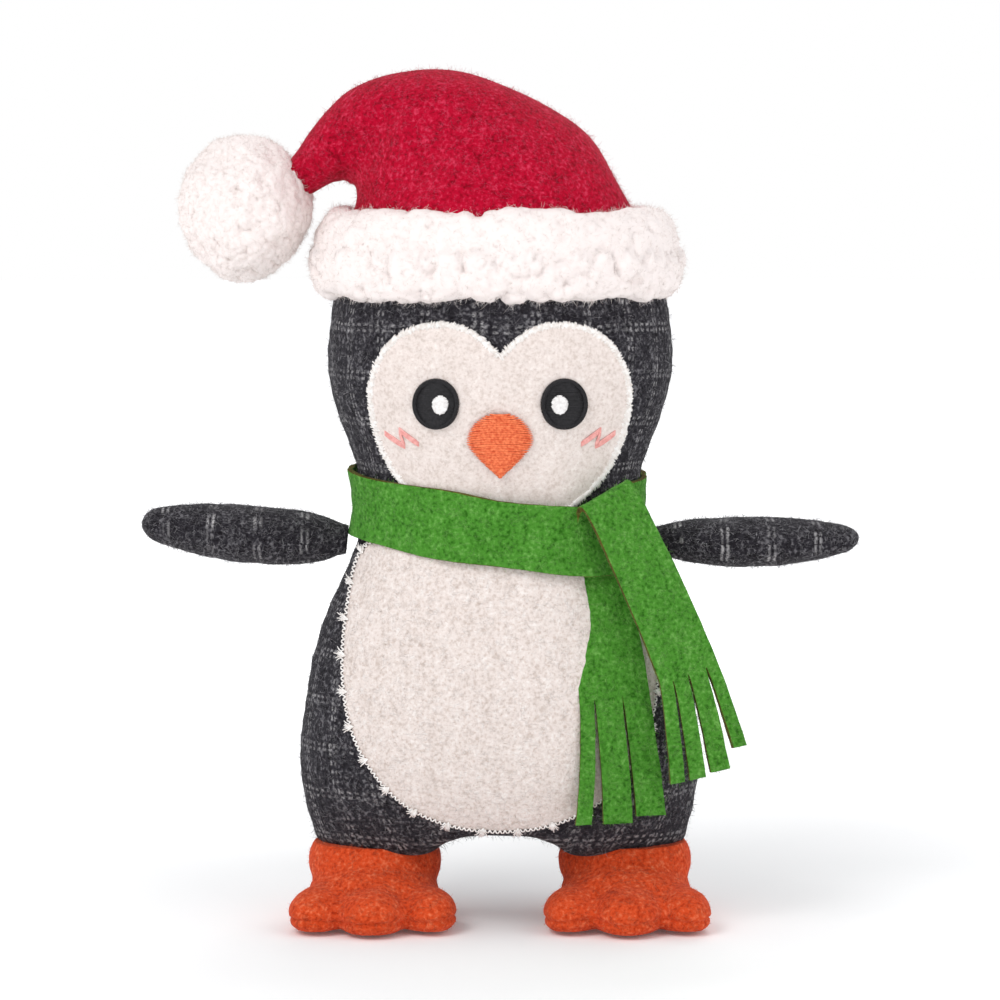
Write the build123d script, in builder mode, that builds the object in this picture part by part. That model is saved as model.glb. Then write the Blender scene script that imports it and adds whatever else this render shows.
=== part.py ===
from build123d import *

import os
from math import cos, radians, sin, sqrt

# A stuffed penguin in a floppy felt hat and a felt scarf. It stands on its feet and faces -Y, so
# its own left side is at +X. The origin is on the floor, in the middle of the toy. All sizes are in
# millimetres.
#
# The head and body are one stuffed bag of two wool panels, sewn together down both sides. Every
# flat piece on the bag (face, belly, eyes, beak, scarf) is a layer that lies at its own height above
# the wool, so each layer is cut out of the same body shape, grown by that height.

# ---------------------------------------------------------------- driving dimensions
BODY_HEIGHT = 245.5  # from the ankle seams to the crown of the head
BODY_WIDTH = 142.0  # across the belly, at its widest
BODY_DEPTH = 80.0  # front to back, at the fullest part of the belly
ANKLE_HEIGHT = 25.5  # from the floor to the seams that join the feet to the legs

WOOL = 1.6  # thickness of the wool panels
FELT = 1.4  # thickness of the felt of the hat and the feet
SCARF_FELT = 2.2  # thickness of the scarf
PATCH = 1.2  # thickness of the sewn-on face and belly
THREAD = 0.5  # height of the embroidery above what it is sewn to
FIT = 0.15  # space between one layer and the next

ARCH_WIDTH = 45.0  # gap between the legs, at the ankle seams
ARCH_HEIGHT = 8.0  # from the ankle seams up to the crotch

FOOT_SPREAD = 44.0  # from the middle of the toy out to the middle of each foot
FOOT_WIDTH = 58.0
ANKLE_WIDTH = 45.0
HEEL_REACH = 25.0  # from the middle of the toy back to the heels
SOLE_SEAM = 5.0  # height of the seam between the sole and the upper
TOE_HEIGHT = 15.0

WING_SPAN = 252.0  # from one wing tip to the other, at rest
WING_DEPTH = 36.0
LEFT_WING_THICKNESS = 17.5
RIGHT_WING_THICKNESS = 21.5
LEFT_WING_TILT = 0.5  # degrees above level, at rest
RIGHT_WING_TILT = 6.0
WING_CLEARANCE = 0.8  # between the root of a wing and the side of the body

SCARF_WIDTH = 23.0
WING_ROOM = 3.5  # how far the lower edge is tucked up over the wings
SCARF_DIP = 13.5  # how far the front of the scarf dips towards the knot
TAIL_LENGTH_UNDER = 84.0
TAIL_LENGTH_OVER = 104.0
FRINGE_LENGTH = 38.0
FRINGE_STRANDS = 4
FRINGE_SLIT = 0.9
FRINGE_SPLAY = 1.5  # how far the fringe spreads beyond each side of a tail
TAIL_CLEARANCE = 1.2  # between the tails and what lies behind them

BRIM_SIDES = 9.4  # how far the fleece stands off the head at the sides
BRIM_FRONT = 13.0  # and at the front and the back
BRIM_HEIGHT = 33.0
HAT_RISE = 29.0  # from the crown of the head up to the top of the hat
HEM_ROOM = 0.9  # the felt stands this far off the round head at the hem

POMPOM_WIDTH = 48.0
POMPOM_HEIGHT = 53.0
POMPOM_PILE = 7.0  # thickness of the pompom's fleece

# ---------------------------------------------------------------- what follows from them
LAYER_PATCH = FIT
LAYER_ON_PATCH = LAYER_PATCH + PATCH + FIT
LAYER_SCARF = LAYER_ON_PATCH + THREAD + FIT


def above_ankles(share):
    """The height at that share of the way from the ankle seams to the crown of the head."""
    return ANKLE_HEIGHT + share * BODY_HEIGHT


HEM_SHARE = 0.820  # where the hem of the hat is sewn to the head
NECK_HEIGHT = above_ankles(0.4786)  # where the body is narrowest
WING_HEIGHT = above_ankles(0.4379)  # height of the wing roots
SCARF_HEIGHT = above_ankles(0.4908)  # height of the middle of the scarf, at the sides of the neck
BRIM_LOW = above_ankles(0.7821)  # height of the lower edge of the fleece brim
HAT_TOP = above_ankles(1) + HAT_RISE

# Share of the body's height, then of its half width and of its half depth, from the ankles up.
BODY_OUTLINE = (
    (0.000, 0.930, 0.66),
    (0.040, 0.955, 0.80),
    (0.105, 1.000, 0.95),
    (0.200, 0.988, 1.00),
    (0.300, 0.930, 0.95),
    (0.390, 0.818, 0.83),
    (0.478, 0.742, 0.73),
    (0.560, 0.772, 0.78),
    (0.670, 0.873, 0.93),
    (0.765, 0.848, 0.93),
    (0.855, 0.760, 0.84),
    (0.925, 0.600, 0.66),
    (0.972, 0.400, 0.45),
    (1.000, 0.170, 0.20),
)


def body_size(share):
    """The half width and half depth of the body at a share of its height, between the stations."""
    for low, high in zip(BODY_OUTLINE, BODY_OUTLINE[1:]):
        if low[0] <= share <= high[0]:
            along = (share - low[0]) / (high[0] - low[0])
            width = low[1] + along * (high[1] - low[1])
            depth = low[2] + along * (high[2] - low[2])
            return width * BODY_WIDTH / 2, depth * BODY_DEPTH / 2
    raise ValueError("the share lies outside the body")


hem_width, hem_depth = body_size(HEM_SHARE)
hem_height = above_ankles(HEM_SHARE)
BRIM_WIDTH = 2 * (hem_width + BRIM_SIDES)
BRIM_DEPTH = 2 * (hem_depth + BRIM_FRONT)
TOE_REACH = BRIM_DEPTH / 2  # the middle toes reach as far forward as the brim does


def on_front(shares):
    """Places seen from the front, from shares of the body's half width and of its height."""
    return [(x * BODY_WIDTH / 2, above_ankles(height)) for x, height in shares]


def share_of(height):
    """The share of the body's height at a height above the floor."""
    return (height - ANKLE_HEIGHT) / BODY_HEIGHT


def front_of_body(x, height):
    """How far forward the wool is, as a positive depth, at a place seen from the front."""
    half_width, half_depth = body_size(share_of(height))
    return half_depth * sqrt(max(0.0, 1 - (x / half_width) ** 2))


def body_form(growth):
    """The stuffed bag of head and body as one solid, grown all round by that much."""
    last = len(BODY_OUTLINE) - 1
    with BuildPart() as form:
        for i, (share, width, depth) in enumerate(BODY_OUTLINE):
            lift = growth if i == last else 0
            with BuildSketch(Plane.XY.offset(above_ankles(share) + lift)):
                # Turned a quarter, so that the seam of the surface runs down the back.
                Ellipse(
                    depth * BODY_DEPTH / 2 + growth,
                    width * BODY_WIDTH / 2 + growth,
                    rotation=90,
                )
        loft()
        with BuildSketch(Plane.XZ.offset(-BODY_DEPTH)):
            with Locations((0, ANKLE_HEIGHT)):
                Ellipse(ARCH_WIDTH / 2 - growth, ARCH_HEIGHT - growth)
        extrude(amount=2 * BODY_DEPTH, mode=Mode.SUBTRACT)
    return form.part


LEVELS = {}
SKINS = {}


def level(growth):
    """The body's form at that growth, made once."""
    if growth not in LEVELS:
        LEVELS[growth] = body_form(growth)
    return LEVELS[growth]


def skin(bottom, top):
    """The space all round the body from one height above the wool to another, made once."""
    if (bottom, top) not in SKINS:
        with BuildPart() as space:
            add(level(top))
            add(level(bottom), mode=Mode.SUBTRACT)
        SKINS[bottom, top] = space.part
    return SKINS[bottom, top]


def front_layer(outline, bottom, top):
    """A front-view outline, as a layer on the body from one height above the wool to another."""
    with BuildPart() as layer:
        with BuildSketch(Plane.XZ):
            add(outline)
        extrude(amount=BODY_DEPTH)
        add(level(top), mode=Mode.INTERSECT)
        add(level(bottom), mode=Mode.SUBTRACT)
    return layer.part


finished = []


def write(part, name):
    """Labels a finished piece and writes it as a STEP file of that name."""
    part.label = name
    export_step(part, f"parts/{name}.step")
    finished.append(name)


os.makedirs("parts", exist_ok=True)

# ---------------------------------------------------------------- head and body
with BuildPart() as body_front_panel:
    add(skin(-WOOL, 0))
    split(bisect_by=Plane.XZ, keep=Keep.TOP)
write(body_front_panel.part, "body_front_panel")

with BuildPart() as body_back_panel:
    add(skin(-WOOL, 0))
    split(bisect_by=Plane.XZ, keep=Keep.BOTTOM)
write(body_back_panel.part, "body_back_panel")

write(level(-WOOL - FIT), "body_filling")

# ---------------------------------------------------------------- face and belly patches
# The right-hand half of each patch, seen from the front, as shares of the body.
FACE_HALF = on_front(
    (
        (0.000, 0.7149),
        (0.148, 0.7495),
        (0.296, 0.7589),
        (0.465, 0.7446),
        (0.592, 0.7006),
        (0.627, 0.6456),
        (0.592, 0.5764),
        (0.493, 0.5193),
        (0.282, 0.4766),
        (0.000, 0.4644),
    )
)
BELLY_HALF = on_front(
    (
        (0.000, 0.4521),
        (0.507, 0.4509),
        (0.669, 0.4257),
        (0.732, 0.3564),
        (0.758, 0.2668),
        (0.718, 0.1853),
        (0.606, 0.1222),
        (0.437, 0.0754),
        (0.211, 0.0493),
        (0.000, 0.0428),
    )
)

# The satin stitch lies on the rim of a patch, from just outside its edge to just inside.
STITCH_OUTSIDE = 0.8
STITCH_INSIDE = 1.8


def patch_outline(half, growth):
    """The outline of a patch, grown all round, from the points of its right-hand half."""
    half_width = max(x for x, height in half)
    low, high = min(z for x, z in half), max(z for x, z in half)
    middle = (low + high) / 2
    wider = (half_width + growth) / half_width
    taller = (high - middle + growth) / (high - middle)
    grown = [(x * wider, middle + (z - middle) * taller) for x, z in half]
    with BuildSketch() as outline:
        with BuildLine():
            right_half = Spline(*grown, tangents=[(1, 0), (-1, 0)])
            mirror(right_half, about=Plane.YZ)
        make_face()
    return outline.sketch


def edge_stitching(half):
    """A band of thread that rests on the rim of a patch."""
    with BuildSketch() as band:
        add(patch_outline(half, STITCH_OUTSIDE))
        add(patch_outline(half, -STITCH_INSIDE), mode=Mode.SUBTRACT)
    return front_layer(band.sketch, LAYER_ON_PATCH, LAYER_ON_PATCH + THREAD)


for name, half in (("face", FACE_HALF), ("belly", BELLY_HALF)):
    patch = front_layer(patch_outline(half, 0), LAYER_PATCH, LAYER_PATCH + PATCH)
    write(patch, f"{name}_patch")
    write(edge_stitching(half), f"{name}_stitching")

# ---------------------------------------------------------------- eyes, beak and cheeks
EYE_X, EYE_HEIGHT = on_front([(0.300, 0.6436)])[0]
EYE_WIDTH, EYE_TALL = 15.0, 16.6
GLINT_WIDTH, GLINT_TALL = 5.8, 6.4
GLINT_SHIFT = 1.7  # the glints sit this much nearer the beak than the middles of the eyes
EYE_TOP = LAYER_ON_PATCH + 2 * THREAD

for side, sign in (("left", 1), ("right", -1)):
    with BuildSketch() as eye_outline:
        with Locations((sign * EYE_X, EYE_HEIGHT)):
            Ellipse(EYE_WIDTH / 2, EYE_TALL / 2)
    write(front_layer(eye_outline.sketch, LAYER_ON_PATCH, EYE_TOP), f"{side}_eye")
    with BuildSketch() as glint_outline:
        with Locations((sign * (EYE_X - GLINT_SHIFT), EYE_HEIGHT)):
            Ellipse(GLINT_WIDTH / 2, GLINT_TALL / 2)
    glint = front_layer(glint_outline.sketch, EYE_TOP + FIT, EYE_TOP + FIT + THREAD)
    write(glint, f"{side}_eye_glint")

BEAK_HEIGHT = above_ankles(0.591)  # height of the corners of the beak
BEAK_WIDTH, BEAK_RISE, BEAK_DROP = 22.4, 10.3, 12.0
BEAK_ROUNDING = 1.6
with BuildSketch() as beak_outline:
    with BuildLine():
        left_corner = (-BEAK_WIDTH / 2, BEAK_HEIGHT)
        right_corner = (BEAK_WIDTH / 2, BEAK_HEIGHT)
        lowest = (0, BEAK_HEIGHT - BEAK_DROP)
        ThreePointArc(left_corner, (0, BEAK_HEIGHT + BEAK_RISE), right_corner)
        Line(right_corner, lowest)
        Line(lowest, left_corner)
    make_face()
    fillet(beak_outline.vertices(), radius=BEAK_ROUNDING)
write(front_layer(beak_outline.sketch, LAYER_ON_PATCH, LAYER_ON_PATCH + 3 * THREAD), "beak")

# Each cheek is a zigzag of three slanting strokes of thread.
BLUSH_STROKE = 1.9
BLUSH_ZIGZAG = on_front(((0.544, 0.6020), (0.454, 0.5833), (0.479, 0.6065), (0.378, 0.5853)))
for side, sign in (("left", 1), ("right", -1)):
    with BuildSketch() as blush_outline:
        for start, end in zip(BLUSH_ZIGZAG, BLUSH_ZIGZAG[1:]):
            stroke = Vector(sign * end[0], end[1]) - Vector(sign * start[0], start[1])
            middle = (sign * (start[0] + end[0]) / 2, (start[1] + end[1]) / 2)
            with Locations(middle):
                SlotCenterToCenter(
                    stroke.length,
                    BLUSH_STROKE,
                    rotation=Vector(1, 0, 0).get_signed_angle(stroke, Vector(0, 0, 1)),
                )
    blush = front_layer(blush_outline.sketch, LAYER_ON_PATCH, LAYER_ON_PATCH + THREAD)
    write(blush, f"{side}_blush")

# ---------------------------------------------------------------- feet
NECK_OF_FOOT = 10.0  # how far the foot's form goes on above the ankle seam, before it is cut off there
SOLE_ROUNDING = 4.0  # height of the rounding under the rim of the sole
SOLE_TUCK = 3.0  # how far the sole is tucked in under its rim
INSTEP_SHARE = 0.45  # share of the reach where the ankle meets the instep
KNUCKLE_SHARE = 0.85  # share of the reach where the instep meets the toes
# Plan of one foot: share of its half width, then of its reach (forward) or of its heel (backward).
FOOT_PLAN = (
    (-0.72, 0.72),
    (-0.80, -0.20),
    (-0.97, -0.55),
    (-0.72, -0.80),
    (-0.42, -0.80),
    (0.00, -1.00),
    (0.42, -0.80),
    (0.72, -0.80),
    (0.97, -0.55),
    (0.80, -0.20),
    (0.72, 0.72),
)


def foot_form(sign, shrink):
    """A webbed foot of three toes, shrunk all round and cut off at the ankle seam."""
    toe = FOOT_WIDTH / 2 - shrink
    reach = TOE_REACH - shrink
    heel = HEEL_REACH - shrink
    ankle = ANKLE_WIDTH / 2 - shrink
    top = ANKLE_HEIGHT + NECK_OF_FOOT
    plan = [(x * toe, y * (heel if y > 0 else reach)) for x, y in FOOT_PLAN]
    with BuildPart() as form:
        with BuildSketch(Plane.XY.offset(shrink)):
            with BuildLine():
                Spline((0, heel), *plan, periodic=True)
            make_face()
        extrude(amount=top)
        with BuildSketch(Plane.YZ.offset(-FOOT_WIDTH)):
            with BuildLine():
                Polyline(
                    (SOLE_TUCK - reach, shrink),
                    (heel - SOLE_TUCK, shrink),
                    (heel, shrink + SOLE_ROUNDING),
                    (heel, top),
                    (-INSTEP_SHARE * reach, top),
                    (-INSTEP_SHARE * reach, ANKLE_HEIGHT - shrink),
                    (-KNUCKLE_SHARE * reach, TOE_HEIGHT - shrink),
                    (-reach, TOE_HEIGHT / 2),
                    close=True,
                )
            make_face()
        extrude(amount=2 * FOOT_WIDTH, mode=Mode.INTERSECT)
        with BuildSketch(Plane.XZ.offset(-TOE_REACH)):
            with BuildLine():
                Polyline(
                    (SOLE_TUCK - toe, shrink),
                    (toe - SOLE_TUCK, shrink),
                    (toe, shrink + SOLE_ROUNDING),
                    (toe, TOE_HEIGHT / 2),
                    (ankle, ANKLE_HEIGHT),
                    (ankle, top),
                    (-ankle, top),
                    (-ankle, ANKLE_HEIGHT),
                    (-toe, TOE_HEIGHT / 2),
                    (-toe, shrink + SOLE_ROUNDING),
                    close=True,
                )
            make_face()
        extrude(amount=2 * TOE_REACH, mode=Mode.INTERSECT)
        split(bisect_by=Plane.XY.offset(ANKLE_HEIGHT), keep=Keep.BOTTOM)
        with Locations((sign * FOOT_SPREAD, 0, 0)):
            add(form.part, mode=Mode.REPLACE)
    return form.part


for side, sign in (("left", 1), ("right", -1)):
    outside, inside, packed = (foot_form(sign, s) for s in (0, FELT, FELT + FIT))
    with BuildPart() as foot_upper:
        add(outside)
        add(inside, mode=Mode.SUBTRACT)
        split(bisect_by=Plane.XY.offset(SOLE_SEAM), keep=Keep.TOP)
    write(foot_upper.part, f"{side}_foot_upper")
    with BuildPart() as foot_sole:
        add(outside)
        add(inside, mode=Mode.SUBTRACT)
        split(bisect_by=Plane.XY.offset(SOLE_SEAM), keep=Keep.BOTTOM)
    write(foot_sole.part, f"{side}_foot_sole")
    write(packed, f"{side}_foot_filling")

# ---------------------------------------------------------------- wings
# Share of the wing's length, then of its half thickness and of its half depth.
WING_OUTLINE = (
    (0.06, 0.26, 0.34),
    (0.20, 0.68, 0.72),
    (0.40, 0.98, 0.98),
    (0.60, 0.98, 1.00),
    (0.80, 0.74, 0.80),
    (0.95, 0.36, 0.40),
)
WING_ENDS = 3.2  # a wing shrunk by 1 also loses this much at each of its pointed ends
wing_root_x = body_size(share_of(WING_HEIGHT))[0] + WING_CLEARANCE


def wing_form(sign, thickness, tilt, shrink):
    """A wing that narrows to its stitched root and to its tip, shrunk all round."""
    out = Vector(sign * cos(radians(tilt)), 0, sin(radians(tilt)))
    root = Vector(sign * wing_root_x, 0, WING_HEIGHT)
    length = (WING_SPAN / 2 - wing_root_x) / cos(radians(tilt))
    ends = WING_ENDS * shrink
    axis = Plane(origin=root, x_dir=(0, 1, 0), z_dir=out)
    sections = [Vertex(*(root + out * ends))]
    for share, thick, deep in WING_OUTLINE:
        half_thickness = thick * thickness / 2 - shrink
        half_depth = deep * WING_DEPTH / 2 - shrink
        if ends < share * length < length - ends and half_thickness > WOOL / 2:
            with BuildSketch(axis.offset(share * length)) as section:
                Ellipse(half_depth, half_thickness)
            sections.append(section.sketch)
    sections.append(Vertex(*(root + out * (length - ends))))
    with BuildPart() as form:
        loft(sections=sections)
    return form.part, Plane(origin=root, x_dir=(0, 1, 0), z_dir=out.cross(Vector(0, sign, 0)))


for side, sign, thickness, tilt in (
    ("left", 1, LEFT_WING_THICKNESS, LEFT_WING_TILT),
    ("right", -1, RIGHT_WING_THICKNESS, RIGHT_WING_TILT),
):
    outside, middle = wing_form(sign, thickness, tilt, 0)
    inside = wing_form(sign, thickness, tilt, WOOL)[0]
    for panel, kept in (("top", Keep.TOP), ("bottom", Keep.BOTTOM)):
        with BuildPart() as wing_panel:
            add(outside)
            add(inside, mode=Mode.SUBTRACT)
            split(bisect_by=middle, keep=kept)
        write(wing_panel.part, f"{side}_wing_{panel}_panel")
    write(wing_form(sign, thickness, tilt, WOOL + FIT)[0], f"{side}_wing_filling")

# ---------------------------------------------------------------- scarf round the neck
half_neck = body_size(share_of(NECK_HEIGHT))[0] + LAYER_SCARF + SCARF_FELT
KNOT_X = 0.58 * half_neck  # where the ends cross
KNOT_HALF = 8.0  # half the width of the knot
BEYOND = 1.2 * half_neck  # past the sides of the neck
MID_DIP = 0.65 * SCARF_DIP  # how far the scarf dips at the middle of the front
scarf_high = SCARF_HEIGHT + SCARF_WIDTH / 2
scarf_low = SCARF_HEIGHT - SCARF_WIDTH / 2
with BuildSketch() as scarf_front:
    with BuildLine():
        Polyline(
            (-BEYOND, scarf_high),
            (0, scarf_high - MID_DIP),
            (KNOT_X - KNOT_HALF / 2, scarf_high - SCARF_DIP),
            (BEYOND, scarf_high),
            (BEYOND, scarf_low + WING_ROOM),
            (0.95 * half_neck, scarf_low + WING_ROOM),
            (KNOT_X + KNOT_HALF, scarf_low - SCARF_DIP),
            (KNOT_X - KNOT_HALF, scarf_low - SCARF_DIP),
            (0, scarf_low - MID_DIP),
            (-0.95 * half_neck, scarf_low + WING_ROOM),
            (-BEYOND, scarf_low + WING_ROOM),
            close=True,
        )
    make_face()
with BuildPart() as scarf_wrap:
    with BuildSketch(Plane.XZ):
        add(scarf_front.sketch)
    extrude(amount=BODY_DEPTH)
    with BuildSketch(Plane.XZ):
        with Locations((0, SCARF_HEIGHT + WING_ROOM / 2)):
            Rectangle(2 * BEYOND, SCARF_WIDTH - WING_ROOM)
    extrude(amount=-BODY_DEPTH)
    add(skin(LAYER_SCARF, LAYER_SCARF + SCARF_FELT), mode=Mode.INTERSECT)
write(scarf_wrap.part, "scarf_wrap")


# ---------------------------------------------------------------- fringed tails of the scarf
EDGE_SHARE = 0.45  # rounding of a tail's long top edges, as a share of the felt's thickness


def tail(top_x, top_height, forward, slant, lean, yaw, length):
    """A fringed tail that hangs from a place on the front of the toy, and the hinge line at its top.

    It slants sideways, leans forward and is yawed to lie along the round belly, all in degrees.
    """
    half = SCARF_WIDTH / 2
    splayed = half + FRINGE_SPLAY
    down = Vector(
        sin(radians(slant)),
        -sin(radians(lean)),
        -cos(radians(slant)),
    ).normalized()
    across = Vector(cos(radians(yaw)), sin(radians(yaw)), 0)
    across = (across - down * across.dot(down)).normalized()
    top = Vector(top_x, -forward, top_height)
    plane = Plane(origin=top, x_dir=across, z_dir=across.cross(down * -1))
    spread = SCARF_WIDTH / FRINGE_STRANDS
    with BuildPart() as part:
        with BuildSketch(plane):
            with BuildLine():
                Polyline(
                    (-half, 0),
                    (half, 0),
                    (half, FRINGE_LENGTH - length),
                    (splayed, -length),
                    (-splayed, -length),
                    (-half, FRINGE_LENGTH - length),
                    close=True,
                )
            make_face()
            for i in range(1, FRINGE_STRANDS):
                with Locations((i * spread - half, -length + FRINGE_LENGTH / 2)):
                    Rectangle(FRINGE_SLIT, FRINGE_LENGTH, mode=Mode.SUBTRACT)
        extrude(amount=SCARF_FELT / 2, both=True)
        top_edges = part.edges().filter_by(lambda e: abs(plane.to_local_coords(e).center().Y) < 0.01)
        long_edges = top_edges.sort_by(lambda e: e.length)[-2:]
        fillet(long_edges, radius=EDGE_SHARE * SCARF_FELT)
    print("tail hinge", [round(v, 3) for v in top], "axis", [round(-v, 4) for v in across])
    return part.part


def clear_of(x, top, layers):
    """How far forward a tail starts, to clear the layers on the belly that it hangs over."""
    return front_of_body(x - SCARF_WIDTH / 3, top - 0.6 * SCARF_WIDTH) + layers + TAIL_CLEARANCE


OVER_ROOM = 0.5  # between the two tails, beyond what clears the scarf
UNDER_X = 0.64 * half_neck
UNDER_TOP = scarf_low - SCARF_DIP - FIT * 4  # it starts just below the scarf round the neck
OVER_X = 0.68 * half_neck
OVER_TOP = scarf_high - 0.3 * SCARF_WIDTH  # it folds over the upper part of the scarf
under_forward = clear_of(UNDER_X, UNDER_TOP, LAYER_ON_PATCH + SCARF_FELT)
over_forward = clear_of(OVER_X, OVER_TOP, LAYER_SCARF + 2 * SCARF_FELT + OVER_ROOM)
write(tail(UNDER_X, UNDER_TOP, under_forward, 6, 3.5, 18, TAIL_LENGTH_UNDER), "scarf_tail_under")
write(tail(OVER_X, OVER_TOP, over_forward, 23.5, 5.5, 12, TAIL_LENGTH_OVER), "scarf_tail_over")

# ---------------------------------------------------------------- hat
# The cone of the hat as sections from its inner fold to its outer curve. Middle across (share of the
# cone's half width), height (share of the way from the hem to the top of the hat), angle from level,
# half width, half depth (shares of the cone's), and how much the cone still follows the size of the
# head there. It rises off the head, bends over to the right and narrows to a drooping tip.
CROWN_SHARES = (
    (-0.014, 0.160, 0, 1.007, 1.109, 1.0),
    (-0.030, 0.297, 0, 0.897, 1.086, 0.8),
    (-0.128, 0.488, 8, 0.793, 1.029, 0.5),
    (-0.259, 0.631, 21, 0.716, 0.914, 0.2),
    (-0.514, 0.713, 39, 0.548, 0.757, 0.0),
    (-0.803, 0.727, 65, 0.390, 0.614, 0.0),
)
TIP_SHARES = (
    (-0.803, 0.727, 65, 0.344, 0.554, 0.0),
    (-0.984, 0.641, 84, 0.284, 0.429, 0.0),
    (-1.121, 0.543, 97, 0.184, 0.286, 0.0),
    (-1.216, 0.461, 112, 0.113, 0.177, 0.0),
    (-1.270, 0.426, 118, 0.057, 0.089, 0.0),
)
hat_height = HAT_TOP - hem_height
FREE_WIDTH = 0.770 * hat_height  # half width of the cone where it no longer follows the head
FREE_DEPTH = 0.478 * hat_height


def hat_section(x, height, angle, width, depth, follows):
    """A section of the hat in millimetres, from its shares."""
    half_width = follows * hem_width + (1 - follows) * FREE_WIDTH
    half_depth = follows * hem_depth + (1 - follows) * FREE_DEPTH
    place = hem_height + height * hat_height
    return x * half_width, place, angle, width * half_width, depth * half_depth


HEM = (0, hem_height, 0, hem_width + HEM_ROOM + FELT, hem_depth + HEM_ROOM + FELT)
CROWN = (HEM, *(hat_section(*shares) for shares in CROWN_SHARES))
TIP = tuple(hat_section(*shares) for shares in TIP_SHARES)


def section_plane(section):
    """The plane of a section of the hat."""
    x, height, angle = section[:3]
    across = (cos(radians(angle)), 0, sin(radians(angle)))
    along = (-sin(radians(angle)), 0, cos(radians(angle)))
    return Plane(origin=(x, 0, height), x_dir=across, z_dir=along)


def hat_form(sections, shrink):
    """The cone of the hat through those sections, shrunk all round."""
    with BuildPart() as form:
        for pair in zip(sections, sections[1:]):
            for section in pair:
                with BuildSketch(section_plane(section)):
                    Ellipse(section[3] - shrink, section[4] - shrink)
            loft(ruled=True)
    return form.part


with BuildPart() as hat_crown:
    add(hat_form(CROWN, 0))
    add(hat_form(CROWN, FELT), mode=Mode.SUBTRACT)
write(hat_crown.part, "hat_crown")

# The tip folds about the middle of the crown's last section, with its open end inside the crown.
with BuildPart() as hat_tip:
    add(hat_form(TIP, 0))
    add(hat_form(TIP[:-1], FELT), mode=Mode.SUBTRACT)
write(hat_tip.part, "hat_tip")

# The fleece brim, as a fat rounded band round the hem.
BRIM_OUTLINE = ((0.00, 0.880), (0.14, 0.965), (0.40, 1.000), (0.70, 0.985), (0.90, 0.925), (1.00, 0.830))
with BuildPart() as hat_brim:
    for share, size in BRIM_OUTLINE:
        with BuildSketch(Plane.XY.offset(BRIM_LOW + share * BRIM_HEIGHT)):
            Ellipse(size * BRIM_DEPTH / 2, size * BRIM_WIDTH / 2, rotation=90)
    loft()
    add(hat_form(CROWN, -FIT), mode=Mode.SUBTRACT)
    add(level(HEM_ROOM), mode=Mode.SUBTRACT)
write(hat_brim.part, "hat_brim")

# ---------------------------------------------------------------- pompom
tip_end = TIP[-2]
POMPOM_X = tip_end[0] - 0.42 * POMPOM_WIDTH
POMPOM_Z = tip_end[1] - 0.21 * POMPOM_HEIGHT
POCKET_ROOM = 3.0  # round the tip of the hat, where it goes into the pompom
POCKET_R = tip_end[4] + POCKET_ROOM
POMPOM_RINGS = (-76, -55, -30, 0, 30, 55, 76)  # degrees above the middle


def pompom_form(shrink):
    """The egg shape of the pompom, shrunk all round."""
    with BuildPart() as form:
        for angle in POMPOM_RINGS:
            height = POMPOM_Z + (POMPOM_HEIGHT / 2 - shrink) * sin(radians(angle))
            radius = (POMPOM_WIDTH / 2 - shrink) * cos(radians(angle))
            with BuildSketch(Plane.XY.offset(height)):
                with Locations((POMPOM_X, 0)):
                    Circle(radius)
        loft()
    return form.part


with BuildPart() as pompom_cover:
    add(pompom_form(0))
    add(pompom_form(POMPOM_PILE), mode=Mode.SUBTRACT)
    with Locations((tip_end[0], 0, tip_end[1])):
        Sphere(POCKET_R, mode=Mode.SUBTRACT)
write(pompom_cover.part, "pompom_cover")

with BuildPart() as pompom_filling:
    add(pompom_form(POMPOM_PILE + FIT))
    with Locations((tip_end[0], 0, tip_end[1])):
        Sphere(POCKET_R + FELT, mode=Mode.SUBTRACT)
write(pompom_filling.part, "pompom_filling")

fold = section_plane(CROWN[-1]).origin
print("wing hinges", round(wing_root_x, 3), round(WING_HEIGHT, 3))
print("hat fold", round(fold.X, 3), round(fold.Z, 3))
print("pompom hinge", round(tip_end[0], 3), round(tip_end[1], 3))
print(len(finished), "pieces:", ", ".join(finished))
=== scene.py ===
"""Dresses the stuffed penguin: wool bag, felt feet, hat and scarf, fleece and embroidery."""

import logging
import math
from dataclasses import dataclass, field
from enum import Enum
from typing import Callable

import bpy
import numpy as np
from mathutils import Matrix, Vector
from mathutils.bvhtree import BVHTree
from mathutils.kdtree import KDTree


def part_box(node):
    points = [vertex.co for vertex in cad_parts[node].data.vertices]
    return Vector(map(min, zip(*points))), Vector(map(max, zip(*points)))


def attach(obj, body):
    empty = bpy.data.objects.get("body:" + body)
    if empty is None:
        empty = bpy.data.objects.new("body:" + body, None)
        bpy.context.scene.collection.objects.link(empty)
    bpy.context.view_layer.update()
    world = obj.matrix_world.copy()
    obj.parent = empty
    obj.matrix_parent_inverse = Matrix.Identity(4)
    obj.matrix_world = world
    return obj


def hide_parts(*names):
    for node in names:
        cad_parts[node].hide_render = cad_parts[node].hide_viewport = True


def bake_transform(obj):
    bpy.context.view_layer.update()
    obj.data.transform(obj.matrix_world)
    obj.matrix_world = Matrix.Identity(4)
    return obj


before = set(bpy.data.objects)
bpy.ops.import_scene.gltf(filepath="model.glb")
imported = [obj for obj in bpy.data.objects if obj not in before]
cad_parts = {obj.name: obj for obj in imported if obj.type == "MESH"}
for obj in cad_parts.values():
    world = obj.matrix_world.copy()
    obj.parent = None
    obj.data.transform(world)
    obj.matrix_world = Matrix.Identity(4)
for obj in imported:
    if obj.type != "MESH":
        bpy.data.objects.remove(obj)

logging.basicConfig(level=logging.INFO, format="%(message)s")
log = logging.getLogger("penguin")

MM = 0.001
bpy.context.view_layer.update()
Colour = tuple[float, float, float, float]
Array = np.ndarray


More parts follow.
